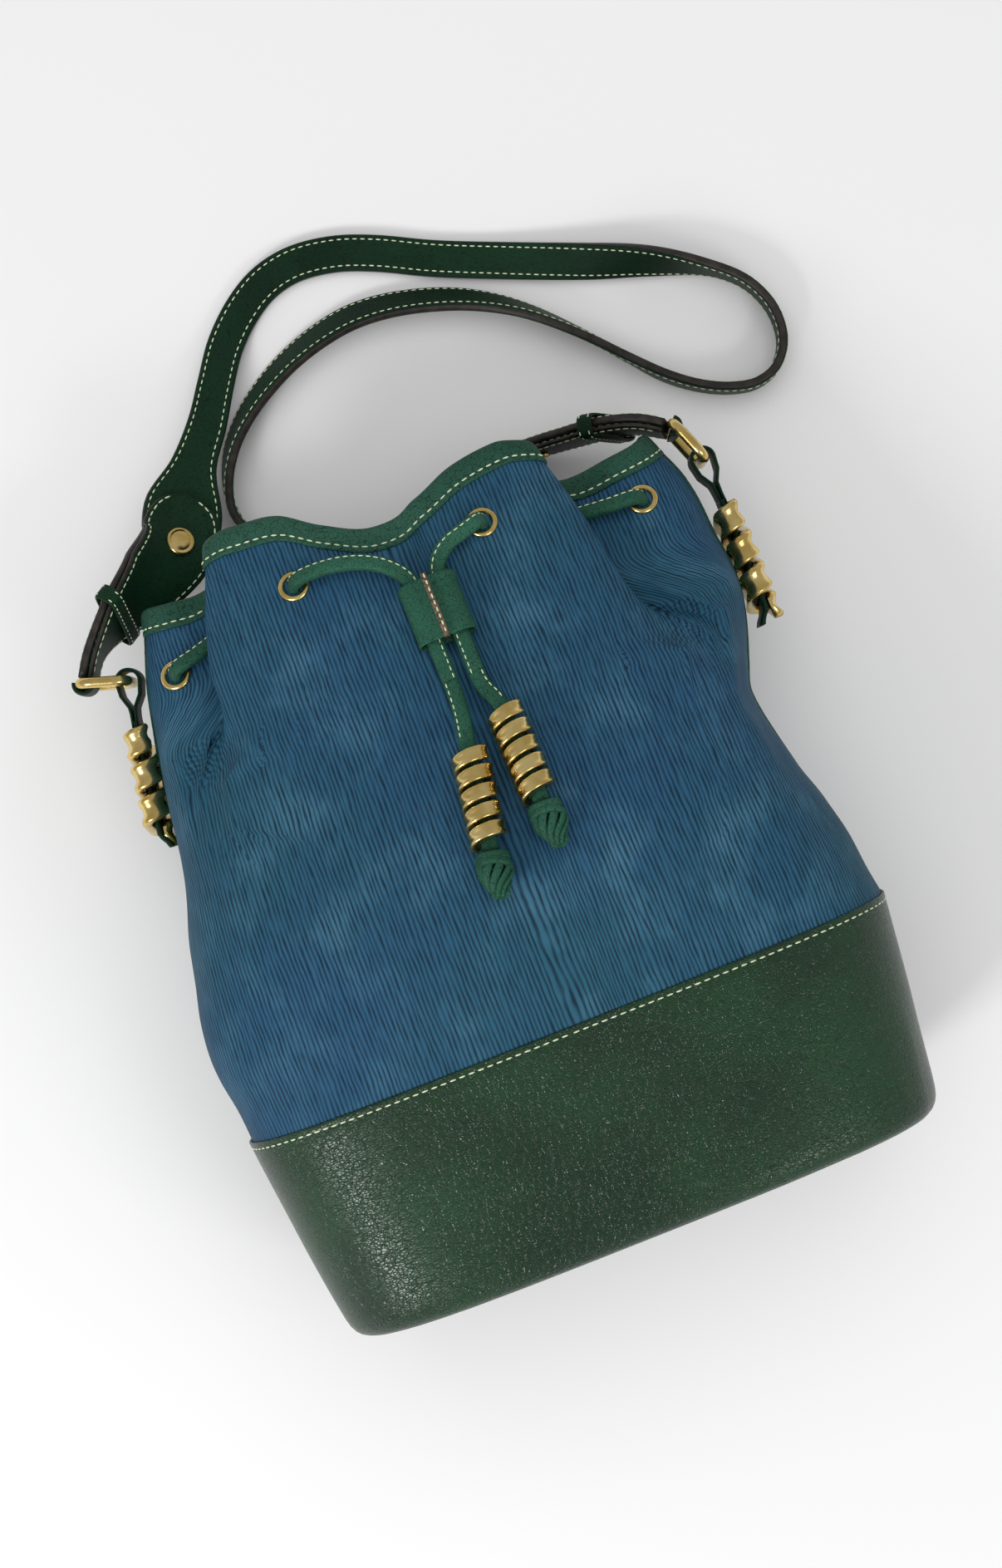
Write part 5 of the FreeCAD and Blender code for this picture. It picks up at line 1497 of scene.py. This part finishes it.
KEEPER_STEPS = 48
for name, distance in (("left", lengths[2]), ("right", lengths[-3])):
    middle, along, width_way, face, width = strap_at(distance)
    centre = middle + face * (FOLD_THICK / 2)
    half_w, half_h = width / 2 + 2.2, (STRAP_THICK + FOLD_THICK) / 2 + 1.5
    loop_path = []
    for i in range(KEEPER_STEPS):
        angle = 2 * math.pi * (i + 0.5) / KEEPER_STEPS
        c, s = math.cos(angle), math.sin(angle)
        x = math.copysign(abs(c) ** 0.25, c) * half_w
        z = math.copysign(abs(s) ** 0.4, s) * half_h
        outward = (width_way * c / half_w + face * s / half_h).normalized()
        loop_path.append((centre + width_way * x + face * z, along, outward, 1.0))
    new_piece("keeper_" + name, swept(loop_path, oblong(7.0, 1.5), closed=True),
              [strap_leather], "strap", ["strap_keeper_" + name])
    lines = [[(c + a * out + o * 0.75, o) for c, a, o, _ in loop_path] for out in (-2.2, 2.2)]
    stitches("keeper_stitches_" + name, lines, "strap", 3.0, (0.3, 0.22, 0.95))

# %% [markdown]
# ## Table
#
# The photograph is taken on a plain pale surface. A large plane stands for it. It is a little
# darker than it looks, because the lights bring it up to the photograph's near-white.

# %% Table
TABLE_SHADE, TABLE_HALF = 0.66, 4.0
table = bpy.data.objects.new("table", bpy.data.meshes.new("table"))
shape = bmesh.new()
bmesh.ops.create_grid(shape, x_segments=1, y_segments=1, size=TABLE_HALF)
shape.to_mesh(table.data)
shape.free()
table.location.z = -0.0005
scene.collection.objects.link(table)
table_finish = Finish("table_white")
table_finish.set(Base_Color=(TABLE_SHADE, TABLE_SHADE, TABLE_SHADE, 1), Roughness=0.9,
                 Specular_IOR_Level=0.1)
table.data.materials.append(table_finish.material)
print("table", 2 * TABLE_HALF, "m wide")

# %% [markdown]
# ## Lights and camera
#
# A big soft light hangs above, and a small one on each side draws the long soft gleams on the
# base. The big one is hidden from reflections, and so is part of the world's light: otherwise
# they would lay a pale veil over the dark leather. The camera hangs straight above the bag,
# turned so that the bag leans as photographed, and its lens comes from the photograph's own
# focal length, both in pixels.


# %% Lights and camera
def soft_light(name, place, target, size, power):
    """A rectangular light at a place, in metres and watts, that faces a target."""
    lamp = bpy.data.lights.new(name, "AREA")
    lamp.shape, lamp.size, lamp.size_y, lamp.energy = "RECTANGLE", size[0], size[1], power
    holder = bpy.data.objects.new(name, lamp)
    holder.location = place
    holder.rotation_euler = (Vector(target) - Vector(place)).to_track_quat("-Z", "Y").to_euler()
    scene.collection.objects.link(holder)
    return holder


sky = soft_light("sky_panel", (0.1, 0.5, 1.9), (0, 0.05, 0.05), (1.9, 1.8), 14.5)
sky.visible_glossy = False
soft_light("left_panel", (-1.05, -0.6, 1.05), (-0.05, -0.05, 0.1), (0.4, 0.4), 12.5)
soft_light("right_panel", (0.5, -0.95, 1.05), (0.08, -0.05, 0.1), (0.5, 0.25), 4.0)
WORLD_LIGHT, WORLD_MIRRORED = 0.72, 0.42
world = bpy.data.worlds.new("studio")
world.use_nodes = True
nodes, links = world.node_tree.nodes, world.node_tree.links
background, rays = nodes["Background"], nodes.new("ShaderNodeLightPath")
dimmed = nodes.new("ShaderNodeMapRange")
background.inputs[0].default_value = (1, 1, 1, 1)
dimmed.inputs["To Min"].default_value = WORLD_LIGHT
dimmed.inputs["To Max"].default_value = WORLD_MIRRORED
links.new(rays.outputs["Is Glossy Ray"], dimmed.inputs["Value"])
links.new(dimmed.outputs["Result"], background.inputs[1])
scene.world = world

CAMERA_HEIGHT, CAMERA_TURN, PHOTO_FOCAL, PHOTO_LONG, SENSOR = 1.150, 21.6, 3186.0, 1887.0, 36.0
lens = bpy.data.cameras.new("camera")
lens.sensor_width = SENSOR
lens.lens = PHOTO_FOCAL / PHOTO_LONG * SENSOR
camera = bpy.data.objects.new("camera", lens)
camera.location = (0.0098, 0.0335, CAMERA_HEIGHT)
camera.rotation_euler = (0, 0, -math.radians(CAMERA_TURN))
scene.collection.objects.link(camera)
scene.camera = camera
scene.view_settings.view_transform = "Standard"
print("focal length", round(lens.lens, 2), "mm")
